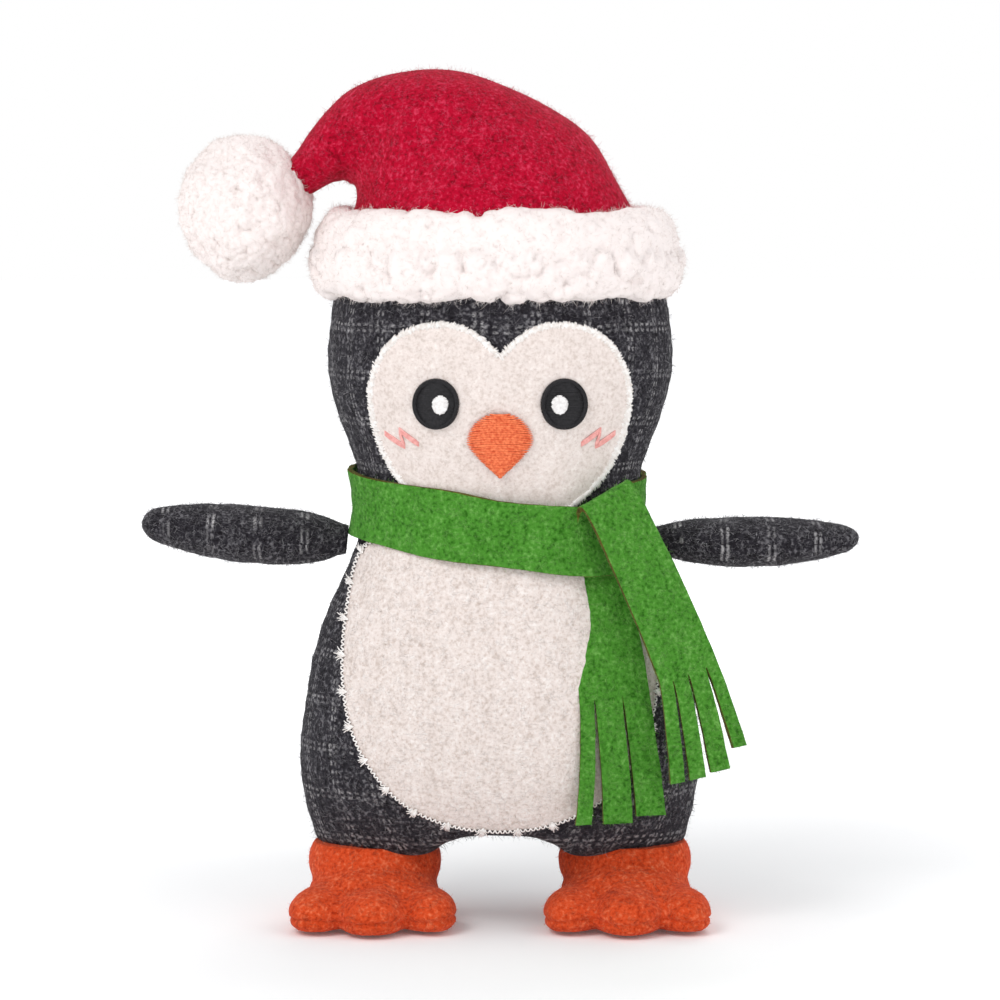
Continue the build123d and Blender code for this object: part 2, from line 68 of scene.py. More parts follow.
# ---------------------------------------------------------------- small tools
def srgb(red: int, green: int, blue: int) -> Colour:
    """A screen colour as the linear colour that a shader wants.

    Args:
        red: red, from 0 to 255.
        green: green, from 0 to 255.
        blue: blue, from 0 to 255.

    Returns:
        The linear colour, with an alpha of 1.
    """

    def linear(value: int) -> float:
        """One channel, made linear.

        Args:
            value: the value.

        Returns:
            The linear value.
        """
        share = value / 255
        return share / 12.92 if share <= 0.04045 else ((share + 0.055) / 1.055) ** 2.4

    return (linear(red), linear(green), linear(blue), 1.0)


def pick(piece: bpy.types.Object) -> bpy.types.Object:
    """Selects one object only and makes it active, because operators act on all that is selected.

    Args:
        piece: a mesh object.

    Returns:
        The same object.
    """
    bpy.ops.object.select_all(action="DESELECT")
    piece.select_set(True)
    bpy.context.view_layer.objects.active = piece
    return piece


def points_of(piece: bpy.types.Object) -> Array:
    """The piece's vertices, one row each.

    Args:
        piece: a mesh object.

    Returns:
        The places.
    """
    flat = np.empty(len(piece.data.vertices) * 3)
    piece.data.vertices.foreach_get("co", flat)
    return flat.reshape(-1, 3)


def normals_of(piece: bpy.types.Object) -> Array:
    """The piece's vertex normals, one row each.

    Args:
        piece: a mesh object.

    Returns:
        The normals.
    """
    flat = np.empty(len(piece.data.vertices) * 3)
    piece.data.vertex_normals.foreach_get("vector", flat)
    return flat.reshape(-1, 3)


def sculpt(piece: bpy.types.Object, moved: Array) -> None:
    """Moves the piece's vertices to new places.

    Args:
        piece: a mesh object.
        moved: the new place of each vertex.
    """
    piece.data.vertices.foreach_set("co", moved.reshape(-1))
    piece.data.update()


def finish_with(piece: bpy.types.Object, kind: str, **settings: object) -> None:
    """Adds a modifier and applies it.

    Args:
        piece: the object that gets it.
        kind: the modifier's type, such as "SOLIDIFY".
        settings: the modifier's settings by name.
    """
    pick(piece)
    modifier = piece.modifiers.new(kind.lower(), kind)
    for name, value in settings.items():
        setattr(modifier, name, value)
    bpy.ops.object.modifier_apply(modifier=modifier.name)


def lumps(piece: bpy.types.Object, size: float, height: float, seed: int = 0) -> None:
    """Presses soft, uneven lumps into a surface.

    Args:
        piece: the object to dent.
        size: the lumps' size, in metres.
        height: how far the surface moves, in metres.
        seed: moves the pattern, so that pieces differ.
    """
    cloud = bpy.data.textures.new(f"{piece.name}_lumps", "CLOUDS")
    cloud.noise_scale = size
    cloud.noise_depth = 2
    pick(piece)
    modifier = piece.modifiers.new("lumps", "DISPLACE")
    modifier.texture = cloud
    modifier.strength = height
    modifier.mid_level = 0.5
    if seed:
        handle = bpy.data.objects.new(f"{piece.name}_shift", None)
        handle.location = (seed * 0.37, seed * 0.53, seed * 0.71)
        bpy.context.scene.collection.objects.link(handle)
        modifier.texture_coords = "OBJECT"
        modifier.texture_coords_object = handle
        bpy.context.view_layer.update()
        bpy.ops.object.modifier_apply(modifier=modifier.name)
        bpy.data.objects.remove(handle)
    else:
        bpy.ops.object.modifier_apply(modifier=modifier.name)


def smooth(piece: bpy.types.Object) -> None:
    """Shades a piece smooth.

    Args:
        piece: a mesh object.
    """
    pick(piece)
    bpy.ops.object.shade_smooth()


def through(stops: Array, at: Array) -> Array:
    """A smooth curve through evenly numbered stops.

    Args:
        stops: one row per stop.
        at: where to read it, from 0 at the first stop to 1 at the last.

    Returns:
        One row for each place in at.
    """
    stops = np.asarray(stops, float)
    last = len(stops) - 1
    place = np.clip(np.asarray(at, float), 0, 1) * last
    index = np.minimum(place.astype(int), last - 1)
    t = (place - index)[:, None]
    before = stops[np.maximum(index - 1, 0)]
    start, end = stops[index], stops[index + 1]
    after = stops[np.minimum(index + 2, last)]
    bend = 2 * before - 5 * start + 4 * end - after
    turn = -before + 3 * start - 3 * end + after
    return 0.5 * (2 * start + (end - before) * t + bend * t**2 + turn * t**3)


def mesh_piece(name: str, points: Array, faces: Array) -> bpy.types.Object:
    """A mesh object from points and faces worked out in code, for threads and fibres.

    Args:
        name: the object's name.
        points: one row per vertex.
        faces: one row per quad.

    Returns:
        The new object, smooth shaded.
    """
    mesh = bpy.data.meshes.new(name)
    mesh.vertices.add(len(points))
    mesh.vertices.foreach_set("co", np.asarray(points, float).reshape(-1))
    mesh.loops.add(faces.size)
    mesh.loops.foreach_set("vertex_index", faces.reshape(-1).astype(np.int32))
    mesh.polygons.add(len(faces))
    mesh.polygons.foreach_set("loop_start", np.arange(0, faces.size, faces.shape[1], dtype=np.int32))
    mesh.polygons.foreach_set("use_smooth", np.ones(len(faces), dtype=bool))
    mesh.update(calc_edges=True)
    piece = bpy.data.objects.new(name, mesh)
    bpy.context.scene.collection.objects.link(piece)
    return piece


def grid_piece(name: str, across: int, along: int, shape: Callable[[Array, Array], Array]) -> bpy.types.Object:
    """A flat grid that a formula bends into a piece of cloth.

    Args:
        name: the object's name.
        across: the number of squares across.
        along: the number of squares along.
        shape: gives the places for columns of u and v, each from 0 to 1.

    Returns:
        The new object, with the grid's own UV map.
    """
    bpy.ops.object.select_all(action="DESELECT")
    bpy.ops.mesh.primitive_grid_add(x_subdivisions=across, y_subdivisions=along, size=2, calc_uvs=True)
    piece = bpy.context.object
    piece.name = name
    piece.data.name = name
    flat = points_of(piece)
    sculpt(piece, shape((flat[:, 0] + 1) / 2, (flat[:, 1] + 1) / 2))
    smooth(piece)
    return piece


def weld(piece: bpy.types.Object, within: float = 0.05 * MM) -> None:
    """Merges vertices that lie on each other and turns every face outwards.

    Args:
        piece: a mesh object.
        within: how near each other they must be, in metres.
    """
    pick(piece)
    bpy.ops.object.mode_set(mode="EDIT")
    bpy.ops.mesh.select_all(action="SELECT")
    bpy.ops.mesh.remove_doubles(threshold=within)
    bpy.ops.mesh.normals_make_consistent(inside=False)
    bpy.ops.object.mode_set(mode="OBJECT")


def joined(name: str, parts: list[bpy.types.Object]) -> bpy.types.Object:
    """Joins several objects into one of that name.

    Args:
        name: the joined object's name.
        parts: the objects.

    Returns:
        The joined object.
    """
    bpy.ops.object.select_all(action="DESELECT")
    for part in parts:
        part.select_set(True)
    bpy.context.view_layer.objects.active = parts[0]
    if len(parts) > 1:
        bpy.ops.object.join()
    whole = bpy.context.object
    whole.name = name
    return whole


def copy_of_node(node: str, name: str, voxel: float, grow: float, rounds: int) -> bpy.types.Object:
    """A soft, evenly meshed copy of a CAD solid.

    Args:
        node: the CAD node's name.
        name: the new object's name.
        voxel: the mesh size of the copy, in metres.
        grow: how far the surface moves outwards, in metres.
        rounds: how many times the copy is smoothed.

    Returns:
        The new object.
    """
    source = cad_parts[node]
    piece = bpy.data.objects.new(name, source.data.copy())
    piece.data.materials.clear()
    bpy.context.scene.collection.objects.link(piece)
    weld(piece, 0.01 * MM)
    finish_with(piece, "REMESH", mode="VOXEL", voxel_size=voxel, use_smooth_shade=True)
    finish_with(piece, "SMOOTH", iterations=rounds, factor=0.5)
    finish_with(piece, "DISPLACE", strength=grow, mid_level=0.0)
    finish_with(piece, "SMOOTH", iterations=2, factor=0.5)
    return piece


def stuffed(piece: bpy.types.Object, pressure: float, cap: float, frames: int = 20) -> None:
    """Swells a closed bag under its filling, so that its cloth wrinkles as stuffed cloth does.

    Args:
        piece: the bag, evenly meshed.
        pressure: the filling's pressure.
        cap: how far any point may move, in metres.
        frames: how long the cloth settles.
    """
    before = points_of(piece)
    pick(piece)
    cloth = piece.modifiers.new("cloth", "CLOTH")
    cloth.settings.quality = 5
    cloth.settings.mass = 0.2
    cloth.settings.tension_stiffness = 12
    cloth.settings.compression_stiffness = 12
    cloth.settings.shear_stiffness = 5
    cloth.settings.bending_stiffness = 0.4
    cloth.settings.use_pressure = True
    cloth.settings.uniform_pressure_force = pressure
    cloth.settings.effector_weights.gravity = 0
    cloth.point_cache.frame_start = 1
    cloth.point_cache.frame_end = frames
    for step in range(1, frames + 1):
        bpy.context.scene.frame_set(step)
    pick(piece)
    bpy.ops.object.modifier_apply(modifier=cloth.name)
    bpy.context.scene.frame_set(1)
    move = points_of(piece) - before
    far = np.linalg.norm(move, axis=1, keepdims=True)
    sculpt(piece, before + move * np.minimum(1, cap / np.maximum(far, 1e-9)))


# ---------------------------------------------------------------- places on the body
class Skin:
    """The outside of a finished piece, to lay other pieces on."""

    def __init__(self, piece: bpy.types.Object) -> None:
        """Reads the piece's final mesh.

        Args:
            piece: a mesh object.
        """
        self.tree = BVHTree.FromObject(piece, bpy.context.evaluated_depsgraph_get())

    def hit(self, start: Vector, way: Vector) -> tuple[Vector, Vector] | None:
        """The first place on the skin that a straight line meets, and the normal there.

        Args:
            start: where the line starts.
            way: the line's direction.

        Returns:
            The place and the normal.
        """
        place, normal, _, _ = self.tree.ray_cast(start, way)
        return None if place is None else (place, normal)

    def front(self, x: Array, z: Array, lift: Array | float) -> Array:
        """Places on the front of the skin.

        Args:
            x: how far across.
            z: how high.
            lift: how far off the skin.

        Returns:
            One row for each place.
        """
        lifts = np.broadcast_to(lift, x.shape)
        places = np.empty((len(x), 3))
        for i, (across, up, off) in enumerate(zip(x, z, lifts)):
            found = self.hit(Vector((across, -0.3, up)), Vector((0, 1, 0)))
            if found is None:
                places[i] = (across, -off, up)
            else:
                places[i] = found[0] + found[1] * off
        return places

    def around(self, angle: Array, z: Array, lift: Array) -> Array:
        """Places round the skin, from the front (0) over the left side (a quarter turn) to the back.

        Args:
            angle: from the front towards the left, in radians.
            z: the height.
            lift: the distance off the skin, in metres.

        Returns:
            The places, one row each.
        """
        places = np.empty((len(angle), 3))
        for i, (turn, up, off) in enumerate(zip(angle, z, lift)):
            way = Vector((-math.sin(turn), math.cos(turn), 0))
            found = self.hit(Vector((0, 0, up)) - way * 0.3, way)
            level = Vector((-way.x, -way.y, 0))
            places[i] = (found[0] if found else level * 0.05 + Vector((0, 0, up))) + level * off
        return places


def scatter(piece: bpy.types.Object, count: int, seed: int) -> tuple[Array, Array]:
    """Evenly strewn places on a piece.

    Args:
        piece: a mesh object.
        count: how many.
        seed: of the random draw.

    Returns:
        The places and their normals.
    """
    draw = np.random.default_rng(seed)
    piece.data.calc_loop_triangles()
    corners = np.empty(len(piece.data.loop_triangles) * 3, dtype=np.int32)
    piece.data.loop_triangles.foreach_get("vertices", corners)
    corners = corners.reshape(-1, 3)
    points, normals = points_of(piece), normals_of(piece)
    a, b, c = (points[corners[:, i]] for i in range(3))
    area = np.linalg.norm(np.cross(b - a, c - a), axis=1)
    chosen = draw.choice(len(area), size=count, p=area / area.sum())
    u, v = draw.random(count), draw.random(count)
    u, v = np.where(u + v > 1, 1 - u, u)[:, None], np.where(u + v > 1, 1 - v, v)[:, None]
    places = a[chosen] + (b - a)[chosen] * u + (c - a)[chosen] * v
    return places, normals[corners[chosen, 0]]


def tufts(piece: bpy.types.Object, count: int, height: float, seed: int) -> None:
    """Swells a surface into round tufts, as curly fleece has, and keeps each place's tuft height, from which the
    fleece finish paints shade into the hollows between tufts.

    Args:
        piece: an evenly meshed object.
        count: the number of tufts.
        height: how far a full tuft stands up, in metres.
        seed: of the random draws.
    """
    draw = np.random.default_rng(seed)
    middles, _ = scatter(piece, count, seed)
    points, normals = points_of(piece), normals_of(piece)
    tree = KDTree(count)
    for i, place in enumerate(middles):
        tree.insert(place, i)
    tree.balance()
    found = [tree.find(place) for place in points]
    nearest = np.array([item[1] for item in found])
    away = np.array([item[2] for item in found])
    reach = np.quantile(away, 0.97)
    full = draw.uniform(0.45, 1.0, count)[nearest]
    dome = np.sqrt(np.clip(1 - (away / reach) ** 2, 0, 1))
    # The tuft height is kept for the fleece finish, which paints shade into the low hollows between tufts.
    if "tuft" not in piece.data.attributes:
        tuft_height_for_shade = piece.data.attributes.new("tuft", "FLOAT", "POINT")
        tuft_height_for_shade.data.foreach_set("value", dome * (0.35 + 0.65 * full))
    sculpt(piece, points + normals * (height * full * dome - 0.4 * height)[:, None])


def groove(piece: bpy.types.Object, start: tuple[float, float], end: tuple[float, float], width: float,
           depth: float) -> None:
    """Presses a soft fold into the front of a piece, along a line seen from the front.

    Args:
        piece: the object.
        start: across and up of the fold's start, in millimetres.
        end: across and up of the fold's end, in millimetres.
        width: how wide the fold is, in millimetres.
        depth: how deep the fold is, in millimetres.
    """
    points, normals = points_of(piece), normals_of(piece)
    first, last = np.array(start), np.array(end)
    run = last - first
    flat = points[:, [0, 2]] / MM - first
    share = np.clip(flat @ run / (run @ run), 0, 1)
    away = np.linalg.norm(flat - share[:, None] * run, axis=1)
    fade = np.sin(np.clip(share, 0.02, 0.98) * math.pi) ** 0.5 * (normals[:, 1] < 0.3)
    sculpt(piece, points - normals * (np.exp(-((away / width) ** 2)) * fade * depth * MM)[:, None])


@dataclass(frozen=True)
class Pile:
    """How the fibres of a cloth stand."""

    count: int
    length: tuple[float, float]
    width: float
    lift: float
    spread: float
    curl: float
    droop: float = 0.0
    steps: int = 3
    clump: float = 0.0


def fibres(name: str, ground: bpy.types.Object, pile: Pile, seed: int,
           keep: Callable[[Array, Array], Array] | None = None) -> bpy.types.Object:
    """Loose fibres that stand on a cloth, each a narrow curved strip.

    Args:
        name: the new object's name.
        ground: the cloth.
        pile: how the fibres stand.
        seed: of the random draws.
        keep: which places get fibres, from the places and normals.

    Returns:
        The new object.
    """
    draw = np.random.default_rng(seed)
    roots, up = scatter(ground, pile.count, seed + 1)
    if keep is not None:
        chosen = keep(roots, up)
        roots, up = roots[chosen], up[chosen]
    count = len(roots)
    loose = draw.normal(size=(count, 3))
    loose -= up * (loose * up).sum(1, keepdims=True)
    loose /= np.linalg.norm(loose, axis=1, keepdims=True) + 1e-9
    way = up * pile.lift + loose * pile.spread * draw.random((count, 1)) ** 0.7
    way[:, 2] -= pile.droop
    if pile.clump > 0:
        centres = roots[draw.random(count) < 0.06] + 0
        tree = KDTree(len(centres))
        for i, place in enumerate(centres):
            tree.insert(place, i)
        tree.balance()
        nearest = np.array([tree.find(place)[1] for place in roots])
        pull = centres[nearest] - roots
        way += pile.clump * pull / np.mean(pile.length)
    way /= np.linalg.norm(way, axis=1, keepdims=True)
    side = np.cross(way, draw.normal(size=(count, 3)))
    side /= np.linalg.norm(side, axis=1, keepdims=True) + 1e-9
    turn = np.cross(way, side)
    length = draw.uniform(*pile.length, size=(count, 1))
    bend = pile.curl * draw.normal(size=(count, 1))
    rows = []
    place = roots - up * 0.2 * MM
    step = length / pile.steps
    for k in range(pile.steps + 1):
        half = side * pile.width * 0.5 * (1 - 0.75 * k / pile.steps)
        rows += [place - half, place + half]
        angle = bend * (k + 1) / pile.steps
        place = place + (way * np.cos(angle) + turn * np.sin(angle)) * step
    points = np.stack(rows, axis=1).reshape(-1, 3)
    per = 2 * (pile.steps + 1)
    base = np.arange(count)[:, None] * per
    faces = np.concatenate([base + np.array([2 * k, 2 * k + 1, 2 * k + 3, 2 * k + 2]) for k in range(pile.steps)])
    return mesh_piece(name, points, faces)


def threads(name: str, starts: Array, ends: Array, ups: Array, radius: Array | float,
            arch: float = 0.3 * MM, sides: int = 5) -> bpy.types.Object:
    """Stitches, each a short length of thread that arches over the cloth.

    Args:
        name: the new object's name.
        starts: where each stitch comes up.
        ends: where each stitch goes down.
        ups: the cloth's normal at each.
        radius: the thread's radius, for all or for each.
        arch: how far the middle of a stitch stands up.
        sides: the number of sides of the thread.

    Returns:
        The new object.
    """
    count = len(starts)
    radius = np.broadcast_to(np.asarray(radius, float), (count,))[:, None, None]
    along = ends - starts
    along /= np.linalg.norm(along, axis=1, keepdims=True) + 1e-9
    side = np.cross(along, ups)
    side /= np.linalg.norm(side, axis=1, keepdims=True) + 1e-9
    top = np.cross(side, along)
    turns = np.linspace(0, 2 * math.pi, sides, endpoint=False)
    ring = side[:, None, :] * np.cos(turns)[None, :, None] + top[:, None, :] * np.sin(turns)[None, :, None]
    rows = []
    for t, size in ((0.0, 0.15), (0.06, 0.75), (0.3, 1.0), (0.7, 1.0), (0.94, 0.75), (1.0, 0.15)):
        middle = starts + (ends - starts) * t + ups * (arch * math.sin(math.pi * t))
        rows.append(middle[:, None, :] + ring * radius * size)
    points = np.stack(rows, axis=1)
    levels = points.shape[1]
    base = np.arange(count)[:, None] * levels * sides
    quads = []
    for k in range(levels - 1):
        for j in range(sides):
            n = (j + 1) % sides
            quads.append(np.array([k * sides + j, k * sides + n, (k + 1) * sides + n, (k + 1) * sides + j]))
    faces = np.concatenate([base + quad for quad in quads])
    piece = mesh_piece(name, points.reshape(-1, 3), faces)
    return piece


# ---------------------------------------------------------------- finishes
class Graph:
    """A short way to place and join shader nodes."""

    def __init__(self, tree: bpy.types.NodeTree, fresh: bool = True) -> None:
        """Starts with an empty tree, unless it isn't to be fresh.

        Args:
            tree: the node tree.
            fresh: whether to empty it first.
        """
        self.tree = tree
        if fresh:
            tree.nodes.clear()

    def node(self, kind: str, **settings: object) -> bpy.types.Node:
        """A new node of a kind, with its settings.

        Args:
            kind: the type.

        Returns:
            The node.
        """
        made = self.tree.nodes.new(kind)
        for name, value in settings.items():
            setattr(made, name, value)
        return made

    def join(self, out: bpy.types.NodeSocket, into: bpy.types.NodeSocket) -> None:
        """Links one socket to another.

        Args:
            out: the socket it comes from.
            into: the socket it goes to.
        """
        self.tree.links.new(out, into)

    def math(self, kind: str, first: object, second: object = 0.0, clamp: bool = False) -> bpy.types.NodeSocket:
        """A Math node of two values, either of which may be a socket.

        Args:
            kind: the type.
            first: the first value or socket.
            second: the second value or socket.
            clamp: whether to keep the result between 0 and 1.

        Returns:
            The result's socket.
        """
        made = self.node("ShaderNodeMath", operation=kind, use_clamp=clamp)
        for value, socket in ((first, made.inputs[0]), (second, made.inputs[1])):
            if isinstance(value, bpy.types.NodeSocket):
                self.join(value, socket)
            else:
                socket.default_value = value
        return made.outputs[0]

    def mix(self, share: object, first: object, second: object, blend: str = "MIX") -> bpy.types.NodeSocket:
        """A colour mix, each part of which may be a socket.

        Args:
            share: how much of the second shows.
            first: the first value or socket.
            second: the second value or socket.
            blend: how the two are blended.

        Returns:
            The colour's socket.
        """
        made = self.node("ShaderNodeMix", data_type="RGBA", blend_type=blend)
        for value, socket in ((share, made.inputs[0]), (first, made.inputs[6]), (second, made.inputs[7])):
            if isinstance(value, bpy.types.NodeSocket):
                self.join(value, socket)
            else:
                socket.default_value = value
        return made.outputs[2]

    def noise(self, vector: bpy.types.NodeSocket, size: float, detail: float = 2.0,
              stretch: tuple[float, float, float] = (1, 1, 1)) -> bpy.types.NodeSocket:
        """A noise whose grains are that many metres large.

        Args:
            vector: the coordinates.
            size: the grains' size, in metres.
            detail: how many finer layers it has.
            stretch: how much it is drawn out along each axis.

        Returns:
            The noise's socket.
        """
        mapping = self.node("ShaderNodeMapping")
        mapping.inputs["Scale"].default_value = stretch
        self.join(vector, mapping.inputs["Vector"])
        made = self.node("ShaderNodeTexNoise")
        made.inputs["Scale"].default_value = 1 / size
        made.inputs["Detail"].default_value = detail
        self.join(mapping.outputs[0], made.inputs["Vector"])
        return made.outputs["Fac"]

    def ramp(self, value: bpy.types.NodeSocket, low: float, high: float) -> bpy.types.NodeSocket:
        """Stretches a value so that low becomes 0 and high becomes 1.

        Args:
            value: the value.
            low: the value that becomes 0.
            high: the value that becomes 1.

        Returns:
            The result's socket.
        """
        made = self.node("ShaderNodeMapRange", clamp=True)
        made.inputs["From Min"].default_value = low
        made.inputs["From Max"].default_value = high
        self.join(value, made.inputs["Value"])
        return made.outputs[0]


def new_group(name: str, inputs: list[tuple[str, str]], outputs: list[tuple[str, str]]) -> tuple[
        bpy.types.NodeTree, Graph, bpy.types.Node, bpy.types.Node]:
    """A shader node group with named sockets.

    Args:
        name: the group's name.
        inputs: name and socket type of each input.
        outputs: name and socket type of each output.

    Returns:
        The tree, its graph, and its input and output nodes.
    """
    tree = bpy.data.node_groups.new(name, "ShaderNodeTree")
    for way, sockets in (("INPUT", inputs), ("OUTPUT", outputs)):
        for socket, kind in sockets:
            tree.interface.new_socket(socket, in_out=way, socket_type=kind)
    graph = Graph(tree)
    return tree, graph, graph.node("NodeGroupInput"), graph.node("NodeGroupOutput")


def fibre_colour_group() -> bpy.types.NodeTree:
    """Felted fibres: a mottled ground with thin tangled hairs over it, and their height.

    Returns:
        The node group.
    """
    if "Felted fibres" in bpy.data.node_groups:
        return bpy.data.node_groups["Felted fibres"]
    tree, graph, given, made = new_group(
        "Felted fibres",
        [("Vector", "NodeSocketVector"), ("Dark", "NodeSocketColor"), ("Mid", "NodeSocketColor"),
         ("Light", "NodeSocketColor"), ("Grain", "NodeSocketFloat"), ("Hairs", "NodeSocketFloat")],
        [("Color", "NodeSocketColor"), ("Height", "NodeSocketFloat")])
    vector = given.outputs["Vector"]
    fine = graph.noise(vector, 1.3 * MM, 4)
    mottle = graph.noise(vector, 7 * MM, 3, (1.7, 1.2, 0.8))
    level = graph.math("ADD", graph.math("MULTIPLY", fine, 0.72), graph.math("MULTIPLY", mottle, 0.28))
    level = graph.math("MULTIPLY", graph.math("SUBTRACT", level, 0.5), given.outputs["Grain"])
    level = graph.math("ADD", level, 0.5, clamp=True)
    lower = graph.mix(graph.ramp(level, 0.0, 0.5), given.outputs["Dark"], given.outputs["Mid"])
    ground = graph.mix(graph.ramp(level, 0.62, 1.25), lower, given.outputs["Light"])
    hairs = None
    for size, stretch, thin in ((3.6 * MM, (1.0, 1.3, 0.7), 0.020), (2.4 * MM, (0.6, 1.1, 1.5), 0.026)):
        line = graph.math("ABSOLUTE", graph.math("SUBTRACT", graph.noise(vector, size, 2, stretch), 0.5))
        hair = graph.math("SUBTRACT", 1.0, graph.ramp(line, 0.0, thin))
        hairs = hair if hairs is None else graph.math("MAXIMUM", hairs, hair)
    fade = graph.ramp(graph.noise(vector, 2.9 * MM, 2), 0.40, 0.62)
    hairs = graph.math("MULTIPLY", hairs, fade)
    shown = graph.math("MULTIPLY", hairs, given.outputs["Hairs"])
    graph.join(graph.mix(shown, ground, given.outputs["Light"]), made.inputs["Color"])
    graph.join(graph.math("ADD", fine, graph.math("MULTIPLY", hairs, 0.35)), made.inputs["Height"])
    return tree


def check_group() -> bpy.types.NodeTree:
    """A faint windowpane check of two dashed threads each way, as a mask over a UV map in metres.

    Returns:
        The node group.
    """
    if "Windowpane check" in bpy.data.node_groups:
        return bpy.data.node_groups["Windowpane check"]
    tree, graph, given, made = new_group(
        "Windowpane check",
        [("Vector", "NodeSocketVector"), ("Pitch", "NodeSocketFloat"), ("Thread", "NodeSocketFloat"),
         ("Gap", "NodeSocketFloat"), ("Dash", "NodeSocketFloat"), ("Rows", "NodeSocketFloat")],
        [("Mask", "NodeSocketFloat")])
    laid = given.outputs["Vector"]
    wander = graph.noise(laid, 14 * MM, 2)
    ragged = graph.noise(laid, 0.9 * MM, 3)
    split = graph.node("ShaderNodeSeparateXYZ")
    graph.join(laid, split.inputs[0])
    shake = graph.math("MULTIPLY", graph.math("SUBTRACT", wander, 0.5), 2.6 * MM)
    shake = graph.math("ADD", shake, graph.math("MULTIPLY", graph.math("SUBTRACT", ragged, 0.5), 1.3 * MM))
    masks = []
    for across, along in ((0, 1), (1, 0)):
        place = graph.math("ADD", split.outputs[across], shake)
        wrapped = graph.math("PINGPONG", place, graph.math("MULTIPLY", given.outputs["Pitch"], 0.5))
        away = graph.math("ABSOLUTE", graph.math("SUBTRACT", wrapped, given.outputs["Gap"]))
        soft = graph.math("DIVIDE", away, given.outputs["Thread"])
        line = graph.math("SUBTRACT", 1.0, graph.ramp(soft, 0.45, 1.3))
        run = graph.math("PINGPONG", graph.math("ADD", split.outputs[along], shake), given.outputs["Dash"])
        run = graph.math("DIVIDE", run, given.outputs["Dash"])
        dash = graph.ramp(run, 0.34, 0.62)
        masks.append(graph.math("MULTIPLY", line, dash))
    rows = graph.math("MULTIPLY", masks[1], given.outputs["Rows"])
    both = graph.math("MAXIMUM", masks[0], rows)
    worn = graph.ramp(graph.noise(laid, 8 * MM, 2), 0.36, 0.62)
    worn = graph.math("ADD", graph.math("MULTIPLY", worn, 0.75), 0.25)
    fray = graph.ramp(graph.noise(laid, 0.8 * MM, 3), 0.36, 0.56)
    graph.join(graph.math("MULTIPLY", graph.math("MULTIPLY", both, worn), fray), made.inputs["Mask"])
    return tree


def fleck_group() -> bpy.types.NodeTree:
    """Specks and short stray hairs in a pale cloth, as a mask.

    Returns:
        The node group.
    """
    if "Stray hairs" in bpy.data.node_groups:
        return bpy.data.node_groups["Stray hairs"]
    tree, graph, given, made = new_group(
        "Stray hairs",
        [("Vector", "NodeSocketVector"), ("Amount", "NodeSocketFloat")],
        [("Mask", "NodeSocketFloat")])
    vector = given.outputs["Vector"]
    speck = graph.ramp(graph.noise(vector, 0.9 * MM, 3, (1, 1, 1.15)), 0.56, 0.68)
    line = graph.math("ABSOLUTE", graph.math("SUBTRACT", graph.noise(vector, 4 * MM, 1), 0.5))
    hair = graph.math("SUBTRACT", 1.0, graph.ramp(line, 0.0, 0.012))
    hair = graph.math("MULTIPLY", hair, graph.ramp(graph.noise(vector, 3 * MM, 1), 0.55, 0.6))
    mask = graph.math("MAXIMUM", speck, hair)
    graph.join(graph.math("MULTIPLY", mask, given.outputs["Amount"]), made.inputs["Mask"])
    return tree


class Weave(Enum):
    """What a cloth's pattern follows."""

    PLAIN = "object coordinates only"
    CHECKED = "a check on the UV map named cloth"


